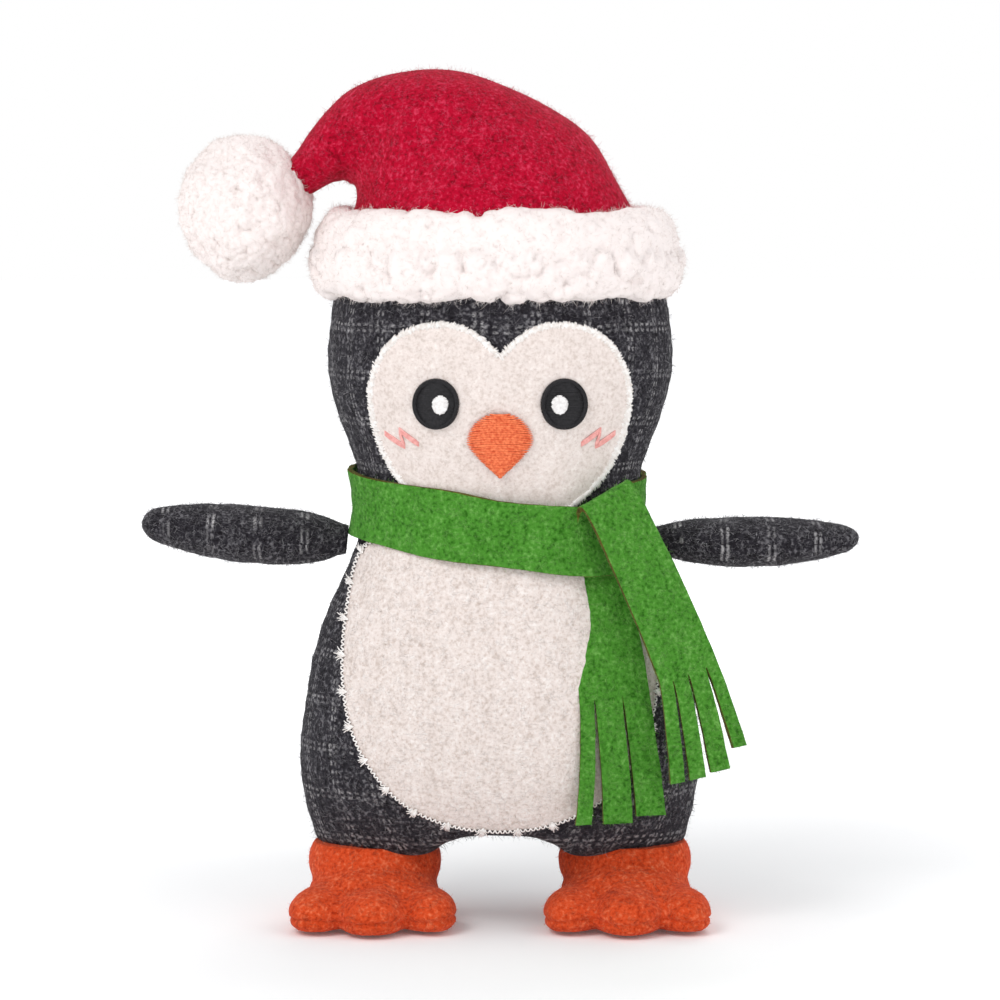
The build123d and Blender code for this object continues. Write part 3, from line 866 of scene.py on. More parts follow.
@dataclass(frozen=True)
class Cloth:
    """A felt, wool or fleece finish."""

    name: str
    dark: Colour
    mid: Colour
    light: Colour
    grain: float = 2.2
    hairs: float = 0.5
    bump: float = 0.4
    roughness: float = 0.95
    sheen: float = 0.05
    rows: float = 1.0
    dash: float = 1.6 * MM
    line_share: float = 0.6
    painted_tuft_shade: bool = False
    fleck: Colour | None = None
    fleck_amount: float = 0.0
    weave: Weave = Weave.PLAIN
    line: Colour = field(default_factory=lambda: srgb(214, 211, 212))

    def material(self) -> bpy.types.Material:
        """Builds the finish's material, or finds it.

        Returns:
            The material.
        """
        if self.name in bpy.data.materials:
            return bpy.data.materials[self.name]
        made = bpy.data.materials.new(self.name)
        made.use_nodes = True
        graph = Graph(made.node_tree)
        out = graph.node("ShaderNodeOutputMaterial")
        shader = graph.node("ShaderNodeBsdfPrincipled")
        graph.join(shader.outputs[0], out.inputs[0])
        place = graph.node("ShaderNodeTexCoord")
        vector = place.outputs["Object"]
        felted = graph.node("ShaderNodeGroup", node_tree=fibre_colour_group())
        graph.join(vector, felted.inputs["Vector"])
        for socket, value in (("Dark", self.dark), ("Mid", self.mid), ("Light", self.light),
                              ("Grain", self.grain), ("Hairs", self.hairs)):
            felted.inputs[socket].default_value = value
        colour = felted.outputs["Color"]
        height = felted.outputs["Height"]
        if self.fleck is not None:
            hairs = graph.node("ShaderNodeGroup", node_tree=fleck_group())
            graph.join(vector, hairs.inputs["Vector"])
            hairs.inputs["Amount"].default_value = self.fleck_amount
            colour = graph.mix(hairs.outputs["Mask"], colour, self.fleck)
        if self.weave is Weave.CHECKED:
            laid = graph.node("ShaderNodeUVMap", uv_map="cloth")
            check = graph.node("ShaderNodeGroup", node_tree=check_group())
            graph.join(laid.outputs[0], check.inputs["Vector"])
            for socket, value in (("Pitch", 16.2 * MM), ("Thread", 0.5 * MM), ("Gap", 0.95 * MM),
                                  ("Dash", self.dash), ("Rows", self.rows)):
                check.inputs[socket].default_value = value
            shown = graph.math("MULTIPLY", check.outputs["Mask"], self.line_share)
            colour = graph.mix(shown, colour, self.line)
        # Painted shade: where the stored tuft height is low, in the hollows between tufts, the colour turns to the
        # dark tone.
        if self.painted_tuft_shade:
            depth = graph.node("ShaderNodeAttribute", attribute_name="tuft")
            colour = graph.mix(graph.ramp(depth.outputs["Fac"], 0.05, 0.62), self.dark, colour)
        bump = graph.node("ShaderNodeBump")
        bump.inputs["Strength"].default_value = min(1.0, self.bump * 2)
        bump.inputs["Distance"].default_value = self.bump * MM
        graph.join(height, bump.inputs["Height"])
        graph.join(colour, shader.inputs["Base Color"])
        graph.join(bump.outputs[0], shader.inputs["Normal"])
        shader.inputs["Roughness"].default_value = self.roughness
        shader.inputs["Specular IOR Level"].default_value = 0.08
        shader.inputs["Sheen Weight"].default_value = self.sheen
        shader.inputs["Sheen Roughness"].default_value = 0.5
        return made


@dataclass(frozen=True)
class Thread:
    """An embroidery thread or a loose fibre finish."""

    name: str
    dark: Colour
    light: Colour
    roughness: float = 0.55
    specular: float = 0.4
    patch: float = 1.2

    def material(self) -> bpy.types.Material:
        """Builds the finish's material, or finds it.

        Returns:
            The material.
        """
        if self.name in bpy.data.materials:
            return bpy.data.materials[self.name]
        made = bpy.data.materials.new(self.name)
        made.use_nodes = True
        graph = Graph(made.node_tree)
        out = graph.node("ShaderNodeOutputMaterial")
        shader = graph.node("ShaderNodeBsdfPrincipled")
        graph.join(shader.outputs[0], out.inputs[0])
        place = graph.node("ShaderNodeTexCoord")
        tone = graph.ramp(graph.noise(place.outputs["Object"], self.patch * MM, 3), 0.32, 0.68)
        graph.join(graph.mix(tone, self.dark, self.light), shader.inputs["Base Color"])
        strand = graph.noise(place.outputs["Object"], 0.25 * MM, 2)
        bump = graph.node("ShaderNodeBump")
        bump.inputs["Strength"].default_value = 0.4
        bump.inputs["Distance"].default_value = 0.1 * MM
        graph.join(strand, bump.inputs["Height"])
        graph.join(bump.outputs[0], shader.inputs["Normal"])
        shader.inputs["Roughness"].default_value = self.roughness
        shader.inputs["Specular IOR Level"].default_value = self.specular
        return made


WOOL = Cloth("checked wool", srgb(20, 18, 22), srgb(47, 45, 50), srgb(138, 136, 140), grain=3.2, hairs=0.42,
             bump=0.7, weave=Weave.CHECKED, line_share=0.5)
WING_WOOL = Cloth("checked wool of the wings", srgb(18, 16, 20), srgb(42, 40, 45), srgb(132, 130, 134), grain=3.2,
                  hairs=0.42, bump=0.7, weave=Weave.CHECKED, rows=0.0, dash=4.6 * MM, line_share=0.75)
WOOL_HAIR = Thread("loose wool", srgb(70, 67, 72), srgb(176, 174, 177), 0.8, 0.1, 3.0)
WOOL_DARK_HAIR = Thread("dark loose wool", srgb(16, 15, 18), srgb(52, 50, 54), 0.8, 0.1, 3.0)
FACE_FELT = Cloth("cream felt", srgb(206, 192, 184), srgb(228, 216, 210), srgb(246, 238, 233), grain=3.0,
                  hairs=0.25, bump=0.35, fleck=srgb(196, 178, 168), fleck_amount=0.4)
BELLY_CLOTH = Cloth("oatmeal wool", srgb(204, 190, 182), srgb(230, 218, 212), srgb(248, 242, 238), grain=3.2,
                    hairs=0.3, bump=0.45, fleck=srgb(190, 168, 154), fleck_amount=0.45)
CREAM_THREAD = Thread("cream thread", srgb(230, 222, 216), srgb(255, 253, 251), 0.6, 0.3)
BLACK_THREAD = Thread("black thread", srgb(12, 11, 14), srgb(34, 32, 36), 0.5, 0.35, 0.8)
WHITE_THREAD = Thread("white thread", srgb(226, 222, 220), srgb(252, 250, 249), 0.5, 0.3)
ORANGE_THREAD = Thread("orange thread", srgb(214, 84, 42), srgb(250, 138, 88), 0.45, 0.35, 0.9)
PINK_THREAD = Thread("pink thread", srgb(226, 150, 144), srgb(246, 186, 180), 0.5, 0.3)
SCARF_FELT = Cloth("green felt", srgb(40, 96, 18), srgb(74, 138, 46), srgb(124, 182, 92), grain=3.0, hairs=0.35,
                   bump=0.6)
CUT_EDGE = Cloth("cut edge of the green felt", srgb(52, 44, 14), srgb(92, 84, 30), srgb(122, 118, 52), grain=2.4,
                 hairs=0.2, bump=0.3)
SCARF_HAIR = Thread("loose green felt", srgb(58, 116, 34), srgb(138, 186, 100), 0.8, 0.1, 2.0)
HAT_FELT = Cloth("red felt", srgb(122, 0, 20), srgb(178, 4, 42), srgb(228, 70, 102), grain=2.8, hairs=0.5,
                 bump=0.6)
HAT_HAIR = Thread("loose red felt", srgb(140, 4, 32), srgb(226, 84, 112), 0.8, 0.1, 2.0)
FOOT_FELT = Cloth("orange felt", srgb(178, 52, 18), srgb(216, 78, 38), srgb(248, 134, 92), grain=3.2, hairs=0.35,
                  bump=0.6)
FOOT_HAIR = Thread("loose orange felt", srgb(198, 70, 32), srgb(250, 142, 102), 0.8, 0.1, 2.0)
# The fleece has painted shade in the hollows between its tufts, darkened to its dark tone.
FLEECE = Cloth("fleece", srgb(186, 170, 163), srgb(226, 216, 212), srgb(246, 241, 238), grain=2.6, hairs=0.5,
               bump=0.8, painted_tuft_shade=True)
FLEECE_HAIR = Thread("fleece curls", srgb(208, 196, 190), srgb(246, 241, 238), 0.9, 0.05, 1.6)


def dress(piece: bpy.types.Object, finish: Cloth | Thread | None, slot: str) -> None:
    """Gives a piece its finish and names the record's slot that it belongs to.

    Args:
        piece: the object.
        finish: its finish, or None if the piece has its materials already.
        slot: the record's slot.
    """
    if finish is not None:
        piece.data.materials.clear()
        piece.data.materials.append(finish.material())
    log.info("%-24s %6d faces  %s", piece.name, len(piece.data.polygons), slot)


# ---------------------------------------------------------------- head and body
@dataclass
class Body:
    """The stuffed wool bag of head, body and legs."""

    wool: float = 1.75 * MM
    mesh_size: float = 3.0 * MM
    seam_depth: float = 0.9 * MM
    pucker_pitch: float = 8.0 * MM
    fuzz: Pile = Pile(15000, (2.0 * MM, 5.0 * MM), 0.12 * MM, 0.16, 1.5, 2.3, steps=5)
    dark_fuzz: Pile = Pile(14000, (1.5 * MM, 3.5 * MM), 0.14 * MM, 0.3, 1.5, 1.6, steps=4)

    def build(self) -> bpy.types.Object:
        """Models the bag from the filling's shape.

        Returns:
            The bag.
        """
        bag = copy_of_node("body_filling", "wool_body", self.mesh_size, self.wool, 6)
        stuffed(bag, 2.0, 4 * MM)
        lumps(bag, 34 * MM, 1.6 * MM, 3)
        finish_with(bag, "SUBSURF", levels=1, render_levels=1)
        self.sew(bag)
        self.lay_cloth(bag)
        smooth(bag)
        return bag

    def sew(self, bag: bpy.types.Object) -> None:
        """Draws in the side seams, with the small puckers that a gathered seam has.

        Args:
            bag: the wool bag.
        """
        points, normals = points_of(bag), normals_of(bag)
        beside = np.abs(points[:, 1]) / MM
        flank = np.clip(np.abs(normals[:, 0]) * 1.6 - 0.5, 0, 1)
        groove = np.exp(-((beside / 1.6) ** 2)) * self.seam_depth
        folds = np.sin(points[:, 2] * 2 * math.pi / self.pucker_pitch + 2.2 * np.sin(points[:, 2] * 90))
        pucker = np.exp(-((beside / 7) ** 2)) * 0.13 * MM * folds
        moved = points - normals * ((groove + pucker) * flank)[:, None]
        sculpt(bag, moved)

    def lay_cloth(self, bag: bpy.types.Object) -> None:
        """Lays a UV map in metres, which wraps from the middle of the front and of the back.

        Args:
            bag: the wool bag.
        """
        points = points_of(bag)
        width = 66 * MM
        depth = 38 * MM
        turn = np.arctan2(np.abs(points[:, 0]) / width, np.abs(points[:, 1]) / depth + 1e-9)
        across = np.sign(points[:, 0]) * turn * 56 * MM + 6 * MM
        up = points[:, 2] + 2.0 * MM
        layer = bag.data.uv_layers.new(name="cloth")
        corner = np.empty(len(bag.data.loops), dtype=np.int32)
        bag.data.loops.foreach_get("vertex_index", corner)
        layer.data.foreach_set("uv", np.stack([across[corner], up[corner]], axis=1).reshape(-1))

    def dress(self, bag: bpy.types.Object) -> None:
        """Finishes the bag, strews its loose fibres and fixes all to the torso.

        Args:
            bag: the wool bag.
        """
        dress(bag, WOOL, "checked_wool")
        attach(bag, "torso")
        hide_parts("body_front_panel", "body_back_panel", "body_filling")
        for name, pile, finish, seed in (("wool_body_fuzz", self.fuzz, WOOL_HAIR, 11),
                                         ("wool_body_dark_fuzz", self.dark_fuzz, WOOL_DARK_HAIR, 12)):
            hair = fibres(name, bag, pile, seed, self.shows)
            dress(hair, finish, "checked_wool")
            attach(hair, "torso")

    def shows(self, places: Array, ups: Array) -> Array:
        """True where the bag isn't covered by the patches or the hat.

        Args:
            places: places on the bag, one row each.
            ups: the normals there.

        Returns:
            A mask, one value for each place.
        """
        x, z = places[:, 0], places[:, 2]
        front = places[:, 1] < 0
        face = (np.abs(x) < 43 * MM) & (z > 150 * MM) & (z < 206 * MM)
        belly = (np.abs(x) < 50 * MM) & (z > 50 * MM) & (z < 136 * MM)
        return ~(front & (face | belly)) & (z < 236 * MM) & (z > 27 * MM)


# ---------------------------------------------------------------- face and belly
def mirrored(half: list[tuple[float, float]], count: int) -> Array:
    """A closed outline from its right-hand half.

    Args:
        half: across and up, in millimetres, from the top middle down to the bottom middle.
        count: the number of points on each half.

    Returns:
        The outline's points in metres, clockwise, with no point twice.
    """
    right = through(np.array(half) * MM, np.linspace(0, 1, count + 1))
    right[0, 0] = right[-1, 0] = 0
    left = right[1:-1][::-1] * np.array([-1, 1])
    return np.concatenate([right, left])


def evenly(outline: Array, pitch: float) -> tuple[Array, Array]:
    """Even steps round a closed outline.

    Args:
        outline: the outline's points.
        pitch: the step, in metres.

    Returns:
        The places, and the directions that point out of the outline.
    """
    closed = np.concatenate([outline, outline[:1]])
    leg = np.linalg.norm(np.diff(closed, axis=0), axis=1)
    run = np.concatenate([[0], np.cumsum(leg)])
    count = int(run[-1] / pitch)
    at = np.linspace(0, run[-1], count, endpoint=False)
    places = np.stack([np.interp(at, run, closed[:, i]) for i in range(2)], axis=1)
    ahead = np.stack([np.interp((at + pitch) % run[-1], run, closed[:, i]) for i in range(2)], axis=1)
    way = ahead - places
    way /= np.linalg.norm(way, axis=1, keepdims=True) + 1e-12
    out = np.stack([-way[:, 1], way[:, 0]], axis=1)
    middle = outline.mean(axis=0)
    if ((places - middle) * out).sum() < 0:
        out = -out
    return places, out


@dataclass
class Patch:
    """A flat piece of cloth sewn on the front of the bag."""

    name: str
    half: list[tuple[float, float]]
    finish: Cloth
    slot: str
    thickness: float = 1.3 * MM
    rings: int = 22
    around: int = 70

    def outline(self) -> Array:
        """The edge of the patch.

        Returns:
            The edge's places, one row each.
        """
        return mirrored(self.half, self.around)

    def build(self, skin: Skin) -> bpy.types.Object:
        """Models the patch as rings from its middle out to its rolled-under edge.

        Args:
            skin: what it lies on.

        Returns:
            The patch.
        """
        edge = self.outline()
        count = len(edge)
        middle = np.array([0, (edge[:, 1].max() + edge[:, 1].min()) / 2])
        shares = np.concatenate([np.linspace(0.02, 0.96, self.rings), [0.98, 0.993, 1.0, 1.0]])
        lifts = np.concatenate([np.full(self.rings, 1.0), [0.97, 0.8, 0.45, -0.4]]) * self.thickness

        def shape(u: Array, v: Array) -> Array:
            """The place of each column and ring.

            Args:
                u: each point's column, from 0 to 1.
                v: each point's row, from 0 to 1.

            Returns:
                The places, one row each.
            """
            ring = np.rint(v * (len(shares) - 1)).astype(int)
            spoke = np.rint(u * count).astype(int) % count
            flat = middle + (edge[spoke] - middle) * shares[ring][:, None]
            return skin.front(flat[:, 0], flat[:, 1], lifts[ring])

        patch = grid_piece(self.name, count, len(shares) - 1, shape)
        pick(patch)
        bpy.ops.object.mode_set(mode="EDIT")
        bpy.ops.mesh.select_all(action="SELECT")
        bpy.ops.mesh.remove_doubles(threshold=0.01 * MM)
        bpy.ops.object.mode_set(mode="OBJECT")
        pick(patch)
        bpy.ops.object.mode_set(mode="EDIT")
        bpy.ops.mesh.select_mode(type="EDGE")
        bpy.ops.mesh.select_all(action="DESELECT")
        bpy.ops.mesh.select_non_manifold(extend=False)
        bpy.ops.object.mode_set(mode="OBJECT")
        centre = np.array([middle[0], middle[1]])
        for edge_line in patch.data.edges:
            ends = [patch.data.vertices[i].co for i in edge_line.vertices]
            near = all(math.hypot(co.x - centre[0], co.z - centre[1]) < 3 * MM for co in ends)
            edge_line.select = edge_line.select and near
        for vertex in patch.data.vertices:
            near = math.hypot(vertex.co.x - centre[0], vertex.co.z - centre[1]) < 3 * MM
            vertex.select = vertex.select and near
        bpy.ops.object.mode_set(mode="EDIT")
        bpy.ops.mesh.edge_face_add()
        bpy.ops.mesh.select_all(action="SELECT")
        bpy.ops.mesh.normals_make_consistent(inside=False)
        bpy.ops.object.mode_set(mode="OBJECT")
        if normals_of(patch)[:, 1].mean() > 0:
            patch.data.flip_normals()
        lumps(patch, 7 * MM, 0.5 * MM, 5)
        smooth(patch)
        return patch

    def dress(self, patch: bpy.types.Object, nodes: list[str]) -> None:
        """Finishes the patch and fixes it to the torso.

        Args:
            patch: the patch.
            nodes: the nodes it stands for.
        """
        dress(patch, self.finish, self.slot)
        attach(patch, "torso")
        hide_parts(*nodes)
        edge = self.outline()


FACE_HALF = [(0, 199.6), (4.6, 204.2), (11.5, 208.8), (20.5, 210.4), (30.5, 208.2), (38.5, 201.8), (43.4, 191),
             (43.5, 180), (39.8, 166.5), (31.5, 153.5), (18, 144.5), (0, 141.5)]
BELLY_HALF = [(0, 136.5), (36, 136.2), (47.5, 130), (52, 113), (53.8, 91), (51, 71), (43, 55.5), (31, 44),
              (15, 37.6), (0, 36)]


@dataclass
class Embroidery:
    """All the stitching on the front of the bag."""

    face: Patch
    belly: Patch
    thread: float = 0.28 * MM
    edge_pitch: float = 0.46 * MM
    edge_out: float = 0.9 * MM
    edge_in: float = 1.5 * MM
    tooth_pitch: float = 1.75 * MM
    tuft_pitch: float = 12.0 * MM

    def stitch(self, name: str, skin: Skin, starts: Array, ends: Array, lift: Array | float, radius: float,
               arch: float, finish: Thread, slot: str, node: str | None) -> bpy.types.Object:
        """Lays stitches between front-view places on the skin.

        Args:
            name: the new object's name.
            skin: what the stitches lie on.
            starts: across and up of each start.
            ends: across and up of each end.
            lift: how far off the skin they lie.
            radius: the thread's radius.
            arch: how far the middles stand up.
            finish: the thread's finish.
            slot: the record's slot.
            node: the CAD node that these stitches stand for.

        Returns:
            The new object.
        """
        first = skin.front(starts[:, 0], starts[:, 1], lift)
        last = skin.front(ends[:, 0], ends[:, 1], lift)
        middle = (starts + ends) / 2
        ground = skin.front(middle[:, 0], middle[:, 1], 0.0)
        ups = skin.front(middle[:, 0], middle[:, 1], 1 * MM) - ground
        ups /= np.linalg.norm(ups, axis=1, keepdims=True) + 1e-12
        piece = threads(name, first, last, ups, radius, arch)
        dress(piece, finish, slot)
        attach(piece, "torso")
        if node:
            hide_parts(node)
        return piece

    def face_edge(self, skin: Skin) -> None:
        """Satin stitch round the face, with a slight unevenness.

        Args:
            skin: the wool body.
        """
        draw = np.random.default_rng(21)
        places, out = evenly(self.face.outline(), self.edge_pitch)
        uneven = draw.normal(0, 0.24 * MM, (len(places), 2))
        along = np.stack([-out[:, 1], out[:, 0]], axis=1)
        starts = places + out * (self.edge_out + uneven[:, :1])
        ends = places - out * (self.edge_in + uneven[:, 1:]) + along * 0.35 * MM
        self.stitch("face_stitches", skin, starts, ends, 1.0 * MM, self.thread, 0.75 * MM,
                    CREAM_THREAD, "cream_thread", "face_stitching")

    def belly_edge(self, skin: Skin) -> None:
        """Small zigzag teeth round the belly, with a spiky tuft every so often.

        Args:
            skin: the wool body.
        """
        draw = np.random.default_rng(22)
        places, out = evenly(self.belly.outline(), self.tooth_pitch)
        after = np.roll(places, -1, axis=0)
        valley = (places + after) / 2 - out * 0.9 * MM
        peak = places + out * 0.35 * MM
        starts = np.concatenate([peak, valley])
        ends = np.concatenate([valley, np.roll(peak, -1, axis=0)])
        self.stitch("belly_stitches", skin, starts, ends, 1.3 * MM, self.thread, 0.4 * MM, CREAM_THREAD,
                    "cream_thread", "belly_stitching")
        places, out = evenly(self.belly.outline(), self.tuft_pitch)
        starts, ends = [], []
        for place, way in zip(places, out):
            side = np.array([-way[1], way[0]])
            for lean in np.linspace(-1.0, 1.0, 7):
                turn = way * math.cos(lean) + side * math.sin(lean)
                starts.append(place - way * 1.6 * MM)
                ends.append(place + turn * draw.uniform(1.4, 3.0) * MM)
        self.stitch("belly_tufts", skin, np.array(starts), np.array(ends), 1.5 * MM, self.thread * 0.8, 0.7 * MM,
                    CREAM_THREAD, "cream_thread", None)

    def rows(self, inside: Callable[[Array, Array], Array], box: tuple[float, float, float, float],
             pitch: float, seed: int) -> tuple[Array, Array]:
        """Level rows of thread that fill a shape.

        Args:
            inside: True for places within the shape.
            box: the shape's left, right, bottom and top.
            pitch: the distance between rows.
            seed: of the random ends.

        Returns:
            The starts and ends of the rows.
        """
        draw = np.random.default_rng(seed)
        left, right, bottom, top = box
        across = np.linspace(left, right, 240)
        starts, ends = [], []
        for up in np.arange(bottom + pitch / 2, top, pitch):
            within = across[inside(across, np.full_like(across, up))]
            if len(within) > 1:
                starts.append((within[0] - draw.uniform(0, 0.25) * MM, up + draw.normal(0, 0.05) * MM))
                ends.append((within[-1] + draw.uniform(0, 0.25) * MM, up + draw.normal(0, 0.05) * MM))
        return np.array(starts), np.array(ends)

    def eye(self, skin: Skin, side: str, x: float) -> None:
        """One eye: rows of black thread, a raised rim and a white glint.

        Args:
            skin: what it lies on.
            side: "left" or "right".
            x: how far across its middle is.
        """
        z, wide, tall = 183.5 * MM, 7.4 * MM, 8.2 * MM

        def oval(half_width: float, half_height: float, middle: float) -> Callable[[Array, Array], Array]:
            """A test for being inside an oval.

            Args:
                half_width: half its width.
                half_height: half its height.
                middle: its middle.

            Returns:
                The test.
            """
            return lambda a, b: ((a - middle) / half_width) ** 2 + ((b - z) / half_height) ** 2 < 1

        box = (x - wide, x + wide, z - tall, z + tall)
        starts, ends = self.rows(oval(wide, tall, x), box, 0.42 * MM, 31)
        self.stitch(f"{side}_eye_thread", skin, starts, ends, 1.7 * MM, 0.36 * MM, 0.9 * MM, BLACK_THREAD,
                    "black_thread", f"{side}_eye")
        turns = np.linspace(0, 2 * math.pi, 96, endpoint=False)
        ring = np.stack([np.cos(turns), np.sin(turns)], axis=1)
        middle = np.array([x, z])
        starts = middle + ring * np.array([wide - 1.3 * MM, tall - 1.3 * MM])
        ends = middle + ring * np.array([wide + 0.5 * MM, tall + 0.5 * MM])
        self.stitch(f"{side}_eye_rim", skin, starts, ends, 1.6 * MM, 0.36 * MM, 1.1 * MM, BLACK_THREAD,
                    "black_thread", None)
        glint = x - math.copysign(1.7 * MM, x)
        box = (glint - 3.0 * MM, glint + 3.0 * MM, z - 3.2 * MM, z + 3.2 * MM)
        starts, ends = self.rows(oval(2.7 * MM, 3.0 * MM, glint), box, 0.42 * MM, 32)
        self.stitch(f"{side}_eye_glint_thread", skin, starts, ends, 2.55 * MM, 0.34 * MM, 0.7 * MM, WHITE_THREAD,
                    "white_thread", f"{side}_eye_glint")

    def beak(self, skin: Skin) -> None:
        """The beak: level rows of orange thread over a domed pad.

        Args:
            skin: the wool body.
        """
        corner, rise, drop, half = 171.2 * MM, 9.8 * MM, 12.6 * MM, 11.0 * MM

        def inside(a: Array, b: Array) -> Array:
            """True within the rounded top or the pointed bottom.

            Args:
                a: the place across.
                b: the place up.

            Returns:
                A mask.
            """
            high = (a / half) ** 2 + ((b - corner) / rise) ** 2 < 1
            low = np.abs(a) < half * (1.04 - np.clip((corner - b) / drop, 0, 1) ** 1.3)
            return np.where(b > corner, high, low & (b > corner - drop))

        starts, ends = self.rows(inside, (-half, half, corner - drop, corner + rise), 0.6 * MM, 33)
        middle = (starts[:, 1] + ends[:, 1]) / 2
        dome = np.sqrt(np.clip(1 - ((middle - corner) / (13.5 * MM)) ** 2, 0, 1))
        self.stitch("beak_thread", skin, starts, ends, (1.3 + 1.0 * dome) * MM, 0.42 * MM, 1.7 * MM,
                    ORANGE_THREAD, "orange_thread", "beak")

    def blush(self, skin: Skin, side: str, sign: int) -> None:
        """A zigzag of pink thread on one cheek.

        Args:
            skin: the wool body.
            side: the name of the side.
            sign: 1 for the left, -1 for the right.
        """
        zigzag = np.array([(38.9, 173.2), (31.8, 168.5), (33.9, 174.5), (26.9, 169.4)]) * MM
        zigzag[:, 0] *= sign
        starts, ends = [], []
        for first, last in zip(zigzag, zigzag[1:]):
            for k in range(-2, 3):
                shift = np.array([0, k * 0.36 * MM])
                starts.append(first + shift)
                ends.append(last + shift)
        self.stitch(f"{side}_blush_thread", skin, np.array(starts), np.array(ends), 1.3 * MM, 0.3 * MM,
                    0.4 * MM, PINK_THREAD, "pink_thread", f"{side}_blush")

    def build(self, skin: Skin) -> None:
        """Sews everything on.

        Args:
            skin: the wool body.
        """
        self.face_edge(skin)
        self.belly_edge(skin)
        for side, sign in (("left", 1), ("right", -1)):
            self.eye(skin, side, sign * 21.3 * MM)
            self.blush(skin, side, sign)
        self.beak(skin)


# ---------------------------------------------------------------- wings
@dataclass
class Wing:
    """A stuffed wing of two wool panels, sewn together along its rim."""

    side: str
    sign: int
    thickness: float
    tilt: float
    depth: float = 36 * MM
    root: float = 53.5 * MM
    tip: float = 125.6 * MM
    height: float = 133 * MM
    fuzz: Pile = Pile(4200, (1.8 * MM, 4.5 * MM), 0.12 * MM, 0.16, 1.5, 2.3, steps=5)

    # Thickness and depth, from the root to the tip, as shares of the full sizes.
    STOPS = np.array([(0.50, 0.42), (0.76, 0.60), (0.92, 0.80), (0.98, 0.94), (1.0, 1.0), (0.98, 0.99),
                      (0.92, 0.92), (0.82, 0.80), (0.66, 0.62), (0.44, 0.42)])

    def build(self) -> bpy.types.Object:
        """Models the wing along a level line, then tilts it into place.

        Returns:
            The wing.
        """
        length = self.tip - self.root

        def shape(u: Array, v: Array) -> Array:
            """The place of each point round and along the wing.

            Args:
                u: each point's column, from 0 to 1.
                v: each point's row, from 0 to 1.

            Returns:
                The places, one row each.
            """
            turn = u * 2 * math.pi
            along = 1 - (1 - v) ** 1.5
            size = through(self.STOPS, along)
            blunt = np.sqrt(np.clip(1 - np.clip((along - 0.93) / 0.07, 0, 1) ** 2, 0, 1))
            half_thick = size[:, 0] * self.thickness / 2 * blunt
            half_deep = size[:, 1] * self.depth / 2 * blunt
            rim = np.abs(np.cos(turn))
            seam = np.exp(-((np.sin(turn) / 0.13) ** 2))
            folds = np.sin(along * 46 + 3 * np.sin(turn)) * rim**6 * 0.35 * MM * (size[:, 1] > 0.3) * blunt
            x = self.root + along * length
            y = np.cos(turn) * half_deep * (1 - 0.055 * seam)
            z = np.sin(turn) * (1 - 0.10 * rim**4) * half_thick + folds - 1.0 * MM * np.sin(math.pi * along)
            lean = math.radians(self.tilt)
            away = x - self.root
            across = self.sign * (self.root + away * math.cos(lean) - z * math.sin(lean))
            return np.stack([across, y, self.height + away * math.sin(lean) + z * math.cos(lean)], axis=1)

        wing = grid_piece(f"{self.side}_wing", 72, 72, shape)
        weld(wing)
        lumps(wing, 11 * MM, 1.1 * MM, 7 + self.sign)
        smooth(wing)
        return wing

    def lay_cloth(self, wing: bpy.types.Object) -> None:
        """Lays a UV map in metres, along and across the wing.

        Args:
            wing: the wing.
        """
        points = points_of(wing)
        layer = wing.data.uv_layers.new(name="cloth")
        corner = np.empty(len(wing.data.loops), dtype=np.int32)
        wing.data.loops.foreach_get("vertex_index", corner)
        across = points[:, 1] + np.sign(points[:, 2] - self.height) * 4 * MM
        flat = np.stack([points[:, 0][corner] + 3 * MM, across[corner] + 5 * MM], axis=1)
        layer.data.foreach_set("uv", flat.reshape(-1))

    def dress(self, wing: bpy.types.Object) -> None:
        """Finishes the wing and strews its loose fibres.

        Args:
            wing: the wing.
        """
        self.lay_cloth(wing)
        dress(wing, WING_WOOL, "checked_wool")
        hair = fibres(f"{self.side}_wing_fuzz", wing, self.fuzz, 41 + self.sign)
        dress(hair, WOOL_HAIR, "checked_wool")
        body = f"{self.side}_wing"
        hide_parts(f"{body}_top_panel", f"{body}_bottom_panel", f"{body}_filling")
        for piece in (wing, hair):
            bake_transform(piece)


